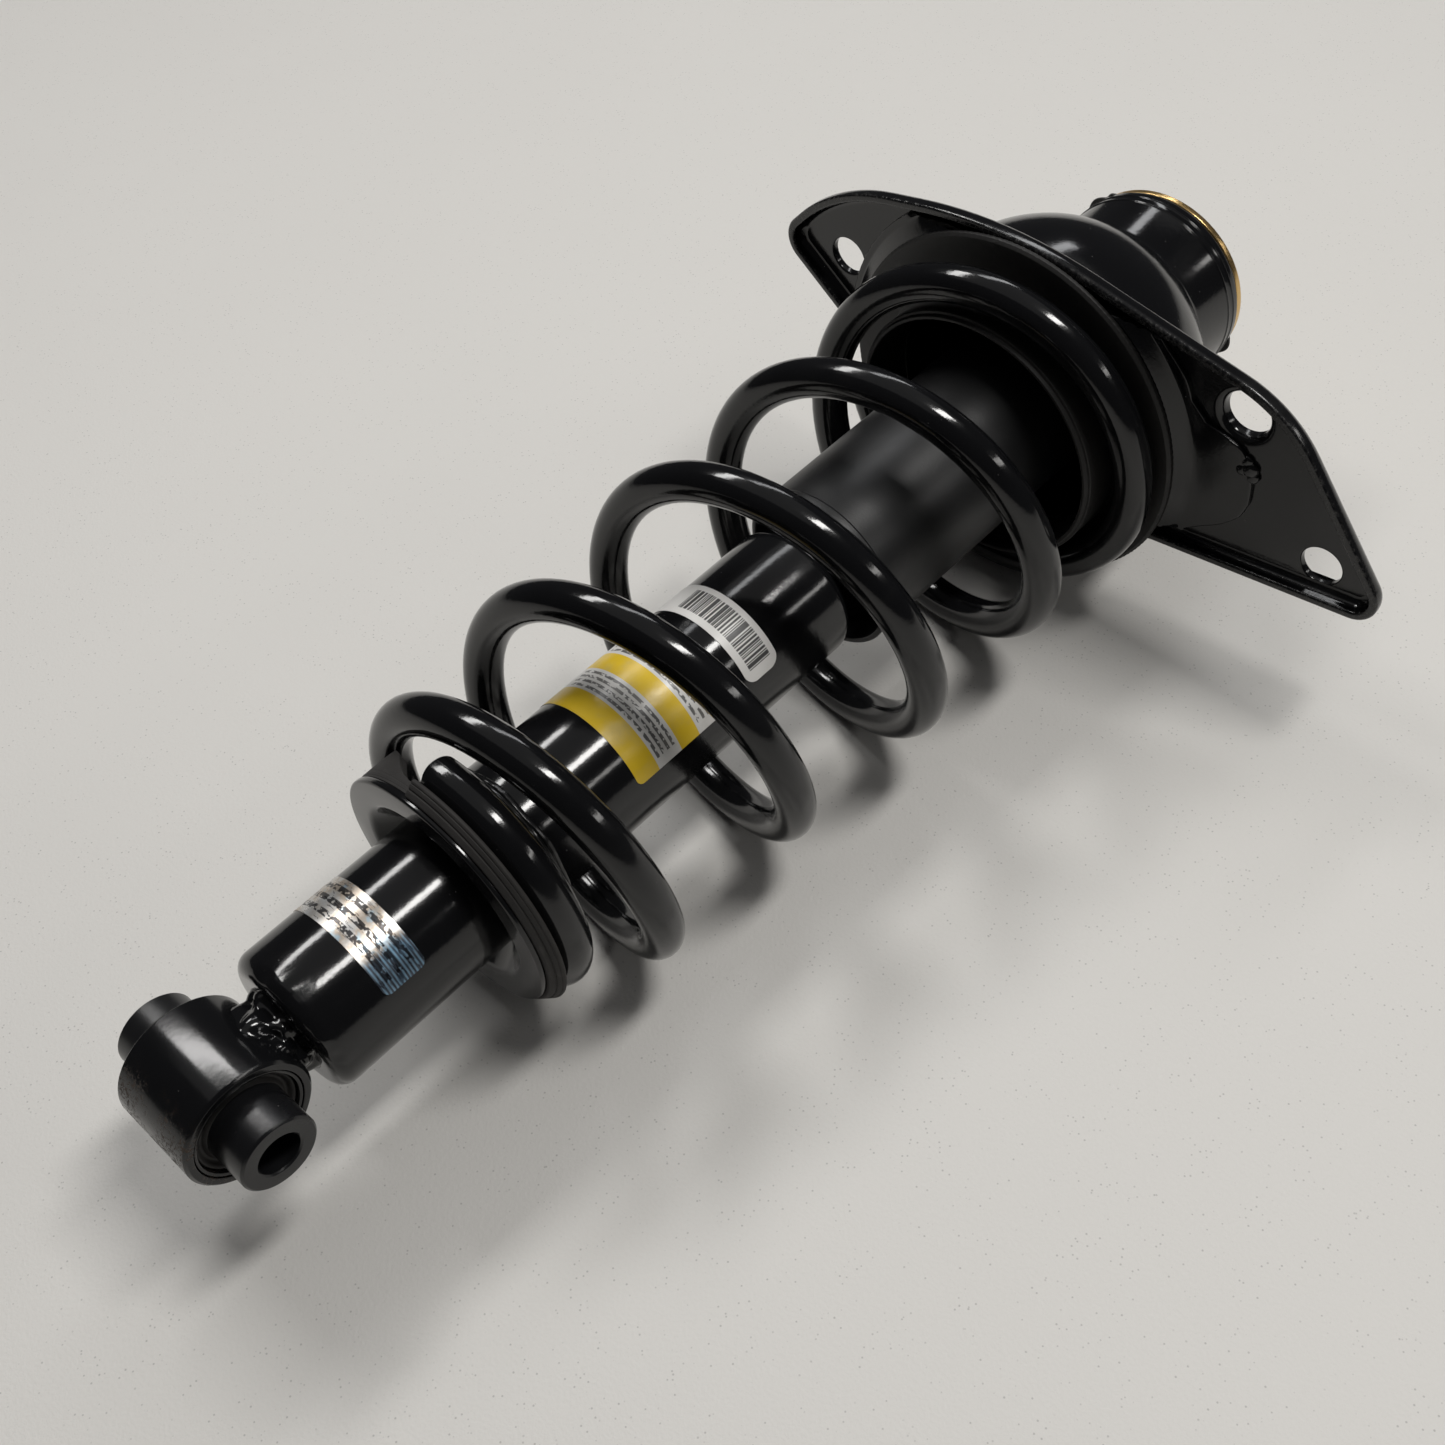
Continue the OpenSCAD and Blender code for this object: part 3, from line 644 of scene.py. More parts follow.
@functools.cache
def finishes():
    """Every finish by its name, made once; most carry the name of the slot that they stand for."""
    c = colours()
    plan = {
        "gloss_black_paint": (painted, c.paint),
        "eye_paint": (painted, c.paint, 0.14, 0.7, 1.0, ring_scuff),
        "weld_paint": (painted, c.paint, 0.09, 2.0, 0.6),
        "spring_paint": (painted, c.paint, 0.09, 0.9, 0.7),
        # plate paint carries a painted highlight along the lip's lower edge, mixed with wear specks
        "plate_paint": (painted, c.paint, 0.11, 1.1, 1.3, lip_edge_wear_and_highlight),
        "seat_weld_paint": (painted, c.paint, 0.22, 2.0, 1.2),
        "sleeve_steel": (painted, lighter(c.paint, 1.3), 0.24, 0.8, 0.8),
        "bush_rubber": (rubbery, lighter(c.rubber, 0.7), 0.55),
        "lower_isolator_rubber": (rubbery, lighter(c.rubber, 0.95), 0.68, 1.4),
        "upper_isolator_rubber": (rubbery, lighter(c.rubber, 0.35), 0.5),
        "mount_rubber": (rubbery, lighter(c.rubber, 0.7), 0.6),
        "shield_plastic": (moulded, c.satin),
        "bump_foam": (foamy, c.foam),
        "rod_chrome": (metal, (0.6, 0.6, 0.61), 0.12, 0.3, 0.1),
        "inner_steel": (metal, c.steel, 0.34, 0.5, 0.4),
        "guide_metal": (metal, lighter(c.steel, 0.8), 0.42, 0.0, 0.4),
        "gold_plate": (metal, c.plating, 0.24, 0.2, 0.3),
        "foil": (foil_label,),
        "banded_film": (banded_label,),
        "bar_film": (bar_label,),
    }
    return {name: make(name, *settings) for name, (make, *settings) in plan.items()}


# ---- Lower eye -----------------------------------------------------------------


def ring_profile(outer, bore, half, bevel, edge):
    """Section of a ring: outer and bore radii, half length, outer bevel and edge radius."""
    end = [(bore, -half, edge), (outer - bevel, -half, edge), (outer, -half + bevel, edge)]
    return rounded(both_ends(end), 4)


def neck_weld():
    """Lumpy weld between eye and tube: a radius about Z that flares at both ends.

    r = 11.4 + 2.9 (2k - 1)^2 + a slow wave + blobs, with k from 0 on the ring to 1 on the tube.
    """
    rows, cols = 40, 200
    k, a = np.meshgrid(np.linspace(0, 1, rows), round_angles(cols), indexing="ij")
    r = 11.4 + 2.9 * (2 * k - 1) ** 2
    r += 0.45 * np.sin(5 * a + 1.3) * k + 0.25 * np.sin(9 * a + 4 * k)
    blobs = [  # azimuth in degrees, share of the height, width in degrees, height, size in mm
        (6, 0.40, 30, 0.45, 2.9), (34, 0.66, 22, 0.34, 2.2), (52, 0.34, 20, 0.34, 1.7),
        (66, 0.86, 16, 0.26, 2.3), (-20, 0.78, 20, 0.3, 2.2), (-30, 0.34, 24, 0.36, 1.8),
        (-56, 0.62, 24, 0.4, 1.5), (84, 0.5, 22, 0.4, 1.8), (112, 0.6, 26, 0.5, 1.5),
        (158, 0.6, 30, 0.45, 1.8), (215, 0.4, 24, 0.4, 1.5), (262, 0.7, 24, 0.4, 2.0),
    ]
    for azimuth, share, wide, tall, size in blobs:
        r += size * hill_at(a, azimuth, wide) * bump((k - share) / tall)
    foot = np.sqrt(EYE_R**2 - (r * np.cos(a)) ** 2) - 0.8
    return capped(polar(r, a, foot + (TUBE_LOW + 0.6 - foot) * k))


class StrutLowerEye(bpy.types.Operator):
    """Eye ring, its weld, and the bush pressed into it"""

    bl_idname = "strut.lower_eye"
    bl_label = "Lower eye and bush"

    def execute(self, context):
        edge = 0.3
        ring = revolve_y(ring_profile(EYE_R, SHELL_R + 0.05, EYE_HALF, 0.9, edge))
        piece("eye_ring_turned", ring, "eye_paint", LOWER, "eye_ring")
        lip = EYE_HALF - 0.5
        end = [(RUBBER_R, -lip, edge), (SHELL_R - 0.3, -lip - 0.3, edge), (SHELL_R, -lip + 0.8, edge)]
        shell = revolve_y(rounded(both_ends(end), 3))
        piece("bush_shell_pressed", shell, "eye_paint", LOWER, "bush_shell")
        inner, h = SLEEVE_R + 0.05, RUBBER_HALF
        end = [(RUBBER_R, h - 1, 0.4), (RUBBER_R - 0.5, h + 0.5, 0.4), (RUBBER_R - 1.3, h - 0.4, 0.5),
               (RUBBER_R - 2.2, h - 2.2, 0.7), (inner + 0.9, h - 1.4, 0.6), (inner, h + 0.2, 0.1)]
        rubber = revolve_y(rounded(both_ends(end), 5))
        piece("bush_rubber_moulded", rubber, "bush_rubber", LOWER, "bush_rubber")
        bore, h = 6.3, SLEEVE_HALF
        end = [(bore, -h + 0.5, 0.1), (bore + 0.5, -h, 0.15), (SLEEVE_R - 0.7, -h, 0.3),
               (SLEEVE_R, -h + 0.7, 0.3)]
        sleeve = revolve_y(rounded(both_ends(end), 4))
        piece("bush_sleeve_turned", sleeve, "sleeve_steel", BUSH, "bush_sleeve")
        piece("eye_weld_bead", neck_weld(), "weld_paint", LOWER, "eye_weld", 60)
        return {"FINISHED"}


# ---- Damper tube ---------------------------------------------------------------


def tube_dents(r, z, a):
    """Small dents and weld spatter on the closed end of the tube, as hills in azimuth and height."""
    marks = [  # azimuth and half width in degrees, height and half height in mm, size in mm
        (-6, 10, 25.5, 3, -0.7), (14, 9, 27, 3, 0.55), (58, 8, 25, 2.5, 0.6), (75, 7, 26, 2, -0.5),
        (150, 9, 26, 3, 0.5), (240, 8, 25, 3, -0.6),
    ]
    outer = ease((r - TUBE_R + 6) / 3)
    for azimuth, wide, height, tall, size in marks:
        r = r + size * hill_at(a, azimuth, wide) * bump((z - height) / tall) * outer
    return r, z


class StrutDamperTube(bpy.types.Operator):
    """Reserve tube with spun ends, and finishes of the pieces inside it"""

    bl_idname = "strut.damper_tube"
    bl_label = "Damper tube"

    def execute(self, context):
        wall, spun, mouth = 2.2, 5, 13.5
        inner = TUBE_R - wall
        profile = rounded(
            [
                (mouth, TUBE_LOW, 0.3), (TUBE_R, TUBE_LOW, spun), (TUBE_R, TUBE_TOP, spun),
                (mouth, TUBE_TOP, 0.6), (mouth, TUBE_TOP - wall, 0.3),
                (inner, TUBE_TOP - wall, spun - wall), (inner, TUBE_LOW + wall, spun - wall),
                (mouth, TUBE_LOW + wall, 0.3),
            ],
            8,
        )
        tube = revolve(dense(profile, 6), 144, shape=tube_dents)
        piece("reserve_tube_spun", tube, "gloss_black_paint", LOWER, "reserve_tube")
        dress("gloss_black_paint", "base_plug")
        dress("inner_steel", "pressure_tube")
        dress("guide_metal", "foot_valve", "rod_guide")
        dress("bush_rubber", "rod_seal")
        return {"FINISHED"}


# ---- Course of the spring wire -------------------------------------------------

FRONT = math.radians(35)
CREST, WEDGE_END = 0.78, 0.875
WIDE_FROM, WIDE_TO = math.radians(-5), math.radians(255)
SLACK = 0.3  # between the wire and each rubber


def climb(t):
    """Share of the coil's climb at turn t: parabola off the seat, straight, parabola on to the top."""
    lift, lift_span, land, land_span = 0.14, 1.36, 5.27, 0.55
    whole = land - lift - (lift_span + land_span) / 2
    s, e = np.maximum(0, t - lift), np.maximum(0, land - t)
    rising = np.where(s < lift_span, s * s / (2 * lift_span), s - lift_span / 2) / whole
    landing = 1 - np.where(e < land_span, e * e / (2 * land_span), e - land_span / 2) / whole
    return np.where(t < (lift + land) / 2, rising, landing)


def coil_height(t):
    """Height of the wire's centreline at turn t."""
    s = sizes()
    return s.coil_low + (s.coil_top - s.coil_low) * climb(t)


def coil_line(t):
    """Centreline of the wire: radius eased between four sizes, one turn round the axis for each t."""
    s = sizes()
    r = (
        s.coil_r_low
        + (s.coil_r_one - s.coil_r_low) * ease((t - 0.1) / 1.2)
        + (s.coil_r_mid - s.coil_r_one) * ease((t - 1.75) / 1.7)
        + (s.coil_r_top - s.coil_r_mid) * ease((t - 3.9) / 1.2)
    )
    return polar(r, FRONT + TURN * t, coil_height(t))


# ---- Lower spring seat ---------------------------------------------------------


def isolator_shape(r, z, a):
    """Narrows the ring where it doesn't hook over the seat, and raises it under the lifting coil.

    The raised pad follows the wire up to its crest and eases down again before the wire's end.
    """
    s = sizes()
    round_it, span = (a - WIDE_FROM) % TURN, WIDE_TO - WIDE_FROM
    wide = ease(np.minimum(round_it, span - round_it) / 0.012 + 0.5)
    edge = SEAT_R - 0.6
    narrow_r = np.where(r > edge, edge + (r - edge) * 0.12, r)
    narrow_z = np.where(r > edge, np.maximum(z, SEAT_LOW + s.sheet + 0.02), z)
    r, z = narrow_r + (r - narrow_r) * wide, narrow_z + (z - narrow_z) * wide
    t = ((a - FRONT) / TURN) % 1
    flat = s.coil_low - s.wire_d / 2 - SLACK
    rise = np.maximum(0, coil_height(np.minimum(t, CREST)) - s.wire_d / 2 - 0.95 - flat)
    rise = rise * ease((WEDGE_END - t) / (WEDGE_END - CREST))
    on_top = ease((z - (flat - 2)) / 1.8) * ease((r - 34.3) / 0.9) * ease((41.2 - r) / 0.8)
    return r, z + rise * on_top


def seat_ripples(r, z, a):
    """Weld ripples: a radius off the tube and a height that wave with the azimuth."""
    lumps = 0.05 * np.sin(31 * a + 2 * np.sin(5 * a)) + 0.15 * np.sin(9 * a)
    return r + lumps * (r > TUBE_R + 0.3), z + 0.25 * np.sin(7 * a + 1)


class StrutLowerSeat(bpy.types.Operator):
    """Pressed lower spring seat, its weld, and the rubber ring under the coil"""

    bl_idname = "strut.lower_seat"
    bl_label = "Lower spring seat"

    def execute(self, context):
        s = sizes()
        t, cone, bend, skin = s.sheet, 30, SEAT_LOW + 10, 2.2
        top, root = SEAT_LOW + t, TUBE_R + t
        seat = rounded(
            [
                (cone, SEAT_LOW, 3), (SEAT_R, SEAT_LOW, 0.8), (SEAT_R, top, 0.8), (cone + 0.6, top, 1.2),
                (root + t / 2, bend, 2), (root, CONE_TOP, 0.5), (TUBE_R + 0.02, CONE_TOP, 0.2),
                (TUBE_R + 0.02, bend, 3),
            ]
        )
        piece("lower_seat_pressed", revolve(seat, 144), "gloss_black_paint", LOWER, "lower_spring_seat")
        bead = rounded(
            [
                (TUBE_R, CONE_TOP - 0.5, 0), (TUBE_R + 2.4, CONE_TOP - 0.4, 0.8),
                (TUBE_R + 1.8, CONE_TOP + 1.7, 0.9), (TUBE_R, CONE_TOP + 2.3, 0),
            ],
            4,
        )
        weld = revolve(bead, 360, shape=seat_ripples)
        piece("seat_weld_bead", weld, "weld_paint", LOWER, "seat_weld", 60, "seat_weld_paint")

        under = s.coil_low - s.wire_d / 2 - SLACK
        foot, brow = np.array([SEAT_R + 1, LOW_ISO_Z]), np.array([LOW_ISO_R, under - 0.8])
        into = np.array([-0.9, 0.5])
        grooves = [(0.34, 0), (0.38, 0.3), (0.44, 0.3), (0.48, 0), (0.7, 0), (0.74, 0.25), (0.8, 0)]
        slant = [(*(foot + (brow - foot) * k + into * depth), 0.15) for k, depth in grooves]
        hook = rounded(
            [
                (SEAT_R + 0.05, LOW_ISO_Z, 0.1), (*foot, 0.3), *slant, (*brow, 0.6),
                (LOW_ISO_R - 1, under, 0.4), (cone + skin, under, 1.2), (root + t / 2 + skin, bend, 2),
                (root + skin, CONE_TOP - 1.2, 0.8), (root + skin / 2, CONE_TOP - 1.2, 0.5),
                (root + t / 2 + 0.05, bend, 1), (cone + 0.05, top + 0.02, 0.2),
                (SEAT_R + 0.05, top + 0.02, 0.1),
            ],
            3,
        )
        rubber = revolve(dense(hook, 1.4), 540, shape=isolator_shape)
        piece("lower_isolator_moulded", rubber, "lower_isolator_rubber", LOWER, "lower_isolator", 50)
        return {"FINISHED"}


# ---- Spring --------------------------------------------------------------------


def unit(vectors):
    """Each vector at length 1."""
    return vectors / np.linalg.norm(vectors, axis=1)[:, None]


class StrutSpring(bpy.types.Operator):
    """Coil spring: one wire swept along the coil, its ends cut square"""

    bl_idname = "strut.spring"
    bl_label = "Coil spring"

    def execute(self, context):
        s = sizes()
        per_turn, sides, bevel = 96, 32, 0.7
        count = round((s.turn_end - s.turn_start) * per_turn)
        t = np.linspace(s.turn_start, s.turn_end, count + 1)
        nudge = bevel / (TURN * s.coil_r_low)
        t = np.concatenate([t[:1], t[:1] + nudge, t[1:-1], t[-1:] - nudge / 1.5, t[-1:]])
        reach = np.full(len(t), s.wire_d / 2)
        reach[[0, -1]] -= bevel
        line = coil_line(t)
        ahead = unit(coil_line(t + 1e-4) - coil_line(t - 1e-4))
        out = unit(line * (1, 1, 0))
        side = unit(out - ahead * (out * ahead).sum(1)[:, None])
        up = np.cross(ahead, side)
        a = round_angles(sides)[None, :, None]
        across = reach[:, None, None] * (np.cos(a) * side[:, None] + np.sin(a) * up[:, None])
        wire = capped(line[:, None] + across)
        spring = piece("coil_spring_wire", wire, "spring_paint", None, "coil_spring")
        dead = float(coil_height(CREST))
        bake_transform(spring, UPPER, LOWER, start=(0, 0, s.coil_top * MM), end=(0, 0, dead * MM))
        self.ride_by_ring(spring, line, np.clip((s.coil_top - line[:, 2]) / (s.coil_top - dead), 0, 1))
        return {"FINISHED"}

    @staticmethod
    def ride_by_ring(spring, line, share):
        """Gives each point of the wire the share of its own ring, so that the wire stays round."""
        mesh = spring.data
        co = np.empty(len(mesh.vertices) * 3, np.float32)
        mesh.vertices.foreach_get("co", co)
        co = co.reshape(-1, 3) / MM
        nearest = np.empty(len(co), int)
        for k in range(0, len(co), 2000):
            gap = co[k : k + 2000, None] - line[None]
            nearest[k : k + 2000] = (gap**2).sum(2).argmin(1)
        mesh.attributes["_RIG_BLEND"].data.foreach_set("value", share[nearest].astype(np.float32))


# ---- Shield and bump stop ------------------------------------------------------


def shield_waver(r, z, a):
    """A slight waver of the shield's radius below its top, winding with the height."""
    return r * (1 + 0.0022 * np.sin(3 * a + 0.04 * z) * (z < SHIELD_TOP - 8)), z


class StrutShield(bpy.types.Operator):
    """Dust shield with a rolled rim, and the foam bump stop inside it"""

    bl_idname = "strut.shield"
    bl_label = "Dust shield and bump stop"

    def execute(self, context):
        wall = sizes().shield_wall
        cap, rod, step = SHIELD_TOP - 3, 6.3, SHIELD_R - 0.35
        shield = rounded(
            [
                (SHIELD_R - wall, SHIELD_LOW, 0.5), (SHIELD_R, SHIELD_LOW, 0.7),
                (SHIELD_R, SHIELD_LOW + 3.2, 0.4), (step, SHIELD_LOW + 3.8, 0.4),
                (step, SHIELD_TOP - 6, 1), (SHIELD_R - 0.8, SHIELD_TOP, 2.5),
                (rod, SHIELD_TOP, 0.4), (rod, cap, 0.4), (SHIELD_R - wall - 0.3, cap, 1.5),
            ]
        )
        shell = revolve(dense(shield, 5), 160, shape=shield_waver)
        piece("dust_shield_moulded", shell, "shield_plastic", UPPER, "dust_shield")
        r, bore = 19, 6.6
        folds = [(r - 7, 0, 2), (r - 2.9, 0.14, 3), (r - 5, 0.28, 2), (r - 1, 0.45, 3),
                 (r - 5, 0.62, 2), (r, 0.8, 2)]
        body = [(radius, BUMP_LOW + (BUMP_TOP - BUMP_LOW) * share, bend) for radius, share, bend in folds]
        stop = rounded([(bore, BUMP_LOW, 1), *body, (r, BUMP_TOP, 1), (bore, BUMP_TOP, 0.5)])
        piece("bump_stop_foam", revolve(stop, 96), "bump_foam", UPPER, "bump_stop")
        return {"FINISHED"}


# ---- Upper seat ----------------------------------------------------------------

FLANGE_R = 73
FLANGE_EDGE = np.array(  # azimuth in degrees and radius in mm along the lobe that lies on the plate
    [(50, 73), (58.4, 74.5), (64.3, 73.7), (70.4, 77), (75.7, 88), (79.5, 90.5), (83.6, 91), (89, 90.6),
     (93.3, 88.5), (98, 83), (101.7, 77.5), (105.8, 73)]
)
WELD_DROPS = [  # place on the flange, half width and half height
    (12.4, 90.0, 2.4, 1.2), (15.0, 88.8, 3.0, 1.7), (17.6, 87.4, 2.2, 1.2), (14.2, 86.4, 2.6, 1.5),
    (20.2, 84.6, 1.3, 0.8),
]


def rim_teeth(r, z, a):
    """Fine teeth round the isolator's outer rim, 180 of them, 0.14 mm deep."""
    return r - 0.14 * ease((r - TOP_ISO_R + 1.2) / 0.8) * (0.5 + 0.5 * np.sin(180 * a)), z


def rim_limit(a):
    """Radius at which a ray from the axis meets the inside of the plate's lip."""
    rim = dense(rounded(inset(PLATE_CORNERS, sizes().lip_bend + 0.4)), 1)
    at = np.arctan2(rim[:, 1], rim[:, 0])
    order = np.argsort(at)
    return np.interp(turned(a), at[order], np.hypot(rim[:, 0], rim[:, 1])[order], period=TURN)


def flange_shape(r, z, a):
    """Draws the seat's flange out into a lobe under the plate and trims it inside the plate's lip."""
    edge = np.interp(np.degrees(turned(a)), FLANGE_EDGE[:, 0], FLANGE_EDGE[:, 1], FLANGE_R, FLANGE_R)
    r = r + (edge - FLANGE_R) * ease((r - 70) / 3)
    limit = rim_limit(a)
    slope = (PLATE_LOW - 1.6 - TOP_ISO_Z) / (FLANGE_R - 1.4 - TOP_ISO_R)
    under = TOP_ISO_Z + np.maximum(0, limit - TOP_ISO_R + 1) * slope
    trimmed = np.clip(z, under, np.minimum(under + sizes().sheet, PLATE_LOW - 0.03))
    return np.minimum(r, limit), np.where(r > limit, trimmed, z)


def blob(x, y, z, across, tall):
    """Flattened drop of weld: an ellipsoid about (x, y, z)."""
    k = np.linspace(-math.pi / 2, math.pi / 2, 9)
    return revolve(np.stack([across * np.cos(k), tall * np.sin(k) + z], -1), 16, (x, y), False)


class StrutUpperSeat(bpy.types.Operator):
    """Upper isolator, and the pressed seat that carries it under the plate"""

    bl_idname = "strut.upper_seat"
    bl_label = "Upper spring seat"

    def execute(self, context):
        s = sizes()
        under = s.coil_top + s.wire_d / 2 + SLACK
        mouth, inner = s.mouth_r, s.mouth_r - 2.5
        rubber = rounded(
            [
                (inner, TOP_ISO_LOW, 0.5), (mouth - 1.3, TOP_ISO_LOW, 0.3),
                (mouth - 1, TOP_ISO_LOW + 1.4, 0.3), (mouth, TOP_ISO_LOW + 1.6, 0.4),
                (mouth, under - 3, 2), (mouth + 2.4, under, 1),
                (TOP_ISO_R - 1.1, under, 0.5), (TOP_ISO_R, under + 0.9, 0.4), (TOP_ISO_R, TOP_ISO_Z, 0.3),
                (inner, TOP_ISO_Z, 0.3),
            ],
            5,
        )
        ring = revolve(dense(rubber, 2.5), 720, shape=rim_teeth)
        piece("upper_isolator_moulded", ring, "upper_isolator_rubber", UPPER, "upper_isolator", 50)
        t, flat_low, flat_top = s.sheet, PLATE_LOW - 1.6, PLATE_LOW - 0.03
        seat = rounded(
            [
                (inner, TOP_ISO_Z, 0.4), (TOP_ISO_R - 1, TOP_ISO_Z, 1.5), (FLANGE_R - 2.4, flat_low, 2),
                (FLANGE_R, flat_low, 0.5), (FLANGE_R, flat_top, 0.2), (FLANGE_R - 3.5, flat_top, 1.5),
                (TOP_ISO_R - t / 2, TOP_ISO_Z + t, 1.5), (inner, TOP_ISO_Z + t, 0.4),
            ],
            5,
        )
        weld = [blob(x, y, PLATE_LOW - 0.6, across, tall) for x, y, across, tall in WELD_DROPS]
        pressed = joined(revolve(dense(seat, 2.5), 360, shape=flange_shape), *weld)
        piece("upper_seat_pressed", pressed, "gloss_black_paint", UPPER, "upper_spring_seat")
        return {"FINISHED"}


# ---- Mount plate ---------------------------------------------------------------

# Rim of the plate's lip: corner position and the radius that rounds it
PLATE_CORNERS = np.array(
    [
        (70.5, -6, 170), (45, 100, 48), (-19.5, 147, 9), (-29, 57, 10), (-64.5, 26, 40),
        (-64.5, -40, 36), (0, -68, 18), (29.5, -103.5, 10), (58, -76, 72),
    ]
)
TIP_HOLES = np.array([(28, -74.5), (-10.5, 117.5)])
CORNER_HOLE = np.array([33.2, 83.8])
RIM_STEPS, HUB_SIDES, HOLE_SIDES = 12, 144, 64


def inside(points, outline):
    """True for points inside a closed outline, by counting crossings of its sides."""
    a, b = outline, np.roll(outline, -1, 0)
    px, py = points[:, :1], points[:, 1:]
    spans = (a[:, 1] > py) != (b[:, 1] > py)
    at = a[:, 0] + (py - a[:, 1]) * (b[:, 0] - a[:, 0]) / (b[:, 1] - a[:, 1] + 1e-12)
    return (spans & (px < at)).sum(1) % 2 == 1


def distance_to(outline, points):
    """Distance of each point from the nearest side of a closed outline."""
    nearest = np.full(len(points), np.inf)
    for a, b in zip(outline, np.roll(outline, -1, 0)):
        along = np.clip(((points - a) @ (b - a)) / ((b - a) @ (b - a)), 0, 1)
        nearest = np.minimum(nearest, np.linalg.norm(points - a - along[:, None] * (b - a), axis=1))
    return nearest


def plate_relief(x, y, hub):
    """Height of the sheet's gentle pressing: long waves that calm down at the hub and the holes."""
    wave = 0.18 * np.sin(0.062 * x + 1) * np.cos(0.055 * y)
    near_hole = sum(bump(np.hypot(x - cx, y - cy) / 13) for cx, cy in [*TIP_HOLES, CORNER_HOLE])
    return wave * ease((np.hypot(x, y) - hub - 1) / 6) * np.clip(1 - 1.6 * near_hole, 0, 1)


def flat_sheet(outline, holes, spacing):
    """Triangles over a flat sheet with round holes: rim points and a staggered grid between them."""
    loops = [outline, *(polar(r, round_angles(n), 0)[:, :2] + c for c, r, n in holes)]
    lo, hi = outline.min(0), outline.max(0)
    gx, gy = np.meshgrid(np.arange(lo[0], hi[0], spacing), np.arange(lo[1], hi[1], spacing))
    gx = gx + spacing / 2 * (np.arange(len(gx)) % 2)[:, None]
    inner = np.stack([gx.ravel(), gy.ravel()], -1)
    keep = inside(inner, outline) & (distance_to(outline, inner) > spacing / 2)
    for c, r, _ in holes:
        keep &= np.linalg.norm(inner - c, axis=1) > r + spacing / 2
    points = np.concatenate([*loops, inner[keep]])
    edges, start = [], 0
    for loop in loops:
        n = len(loop)
        edges += [(start + k, start + (k + 1) % n) for k in range(n)]
        start += n
    found = delaunay_2d_cdt([Vector(p) for p in points], edges, [], 0, 1e-6)
    flat = np.array([tuple(v) for v in found[0]])
    faces = np.array([tuple(f) for f in found[2]])
    middle = flat[faces].mean(1)
    keep = inside(middle, outline)
    for c, r, _ in holes:
        keep &= np.linalg.norm(middle - c, axis=1) > r * 0.999
    return flat, faces[keep].tolist()


def plate_part():
    """Plate as one closed sheet: flat faces with holes, a turned lip and a drawn collar."""
    s = sizes()
    top, t, bend = PLATE_LOW + s.plate_t, s.plate_t, s.lip_bend
    soft, draw = 0.7, 2.4
    hole, collar = s.corner_hole_r, s.corner_hole_r + s.collar_wall
    collar_flat = collar + 1.6
    holes = [((0, 0), s.hub_r + soft, HUB_SIDES)]
    holes += [(c, s.tip_hole_r + soft, HOLE_SIDES) for c in TIP_HOLES]
    holes += [(CORNER_HOLE, collar_flat, HOLE_SIDES)]
    rim = rounded(inset(PLATE_CORNERS, bend), RIM_STEPS)
    flat, faces = flat_sheet(rim, holes, 2.4)
    relief = plate_relief(flat[:, 0], flat[:, 1], s.hub_r) * ease(distance_to(rim, flat) / 8)
    section = [(bend, top, 0), (0, top, bend), (0, LIP_LOW, 1), (t, LIP_LOW, 1),
               (t, PLATE_LOW, bend - t), (bend, PLATE_LOW, 0)]
    section = dense(rounded(section, 10, closed=False), 2, closed=False)
    loops = []
    for d, z in section:
        around = rounded(inset(PLATE_CORNERS, d), RIM_STEPS)
        loops.append(np.column_stack([around, np.full(len(around), z)]))
    drawn = [(collar_flat, top, 0), (collar, top, 1), (collar, COLLAR_TOP, 0.5), (hole, COLLAR_TOP, 0.6),
             (hole, PLATE_LOW, draw), (collar_flat, PLATE_LOW, 0)]

    def bore(r, sides, centre):
        """Wall of a punched hole with both its edges softened."""
        wall = [(r + soft, top, 0), (r, top, soft), (r, PLATE_LOW, soft), (r + soft, PLATE_LOW, 0)]
        return revolve(rounded(wall, 4, closed=False), sides, centre, False)

    return joined(
        (np.column_stack([flat, top + relief]), faces),
        (np.column_stack([flat, PLATE_LOW + relief]), faces),
        (np.concatenate(loops), grid_faces(len(loops), len(rim))),
        bore(s.hub_r, HUB_SIDES, (0, 0)),
        *(bore(s.tip_hole_r, HOLE_SIDES, c) for c in TIP_HOLES),
        revolve(rounded(drawn, closed=False), HOLE_SIDES, CORNER_HOLE, False),
    )


class StrutPlate(bpy.types.Operator):
    """Mount plate with its turned lip, bolt holes and drawn collar"""

    bl_idname = "strut.plate"
    bl_label = "Mount plate"

    def execute(self, context):
        plate = plate_part()
        piece("mount_plate_pressed", plate, "gloss_black_paint", UPPER, "mount_plate", 40, "plate_paint")
        return {"FINISHED"}


# ---- Dome and top fixings ------------------------------------------------------


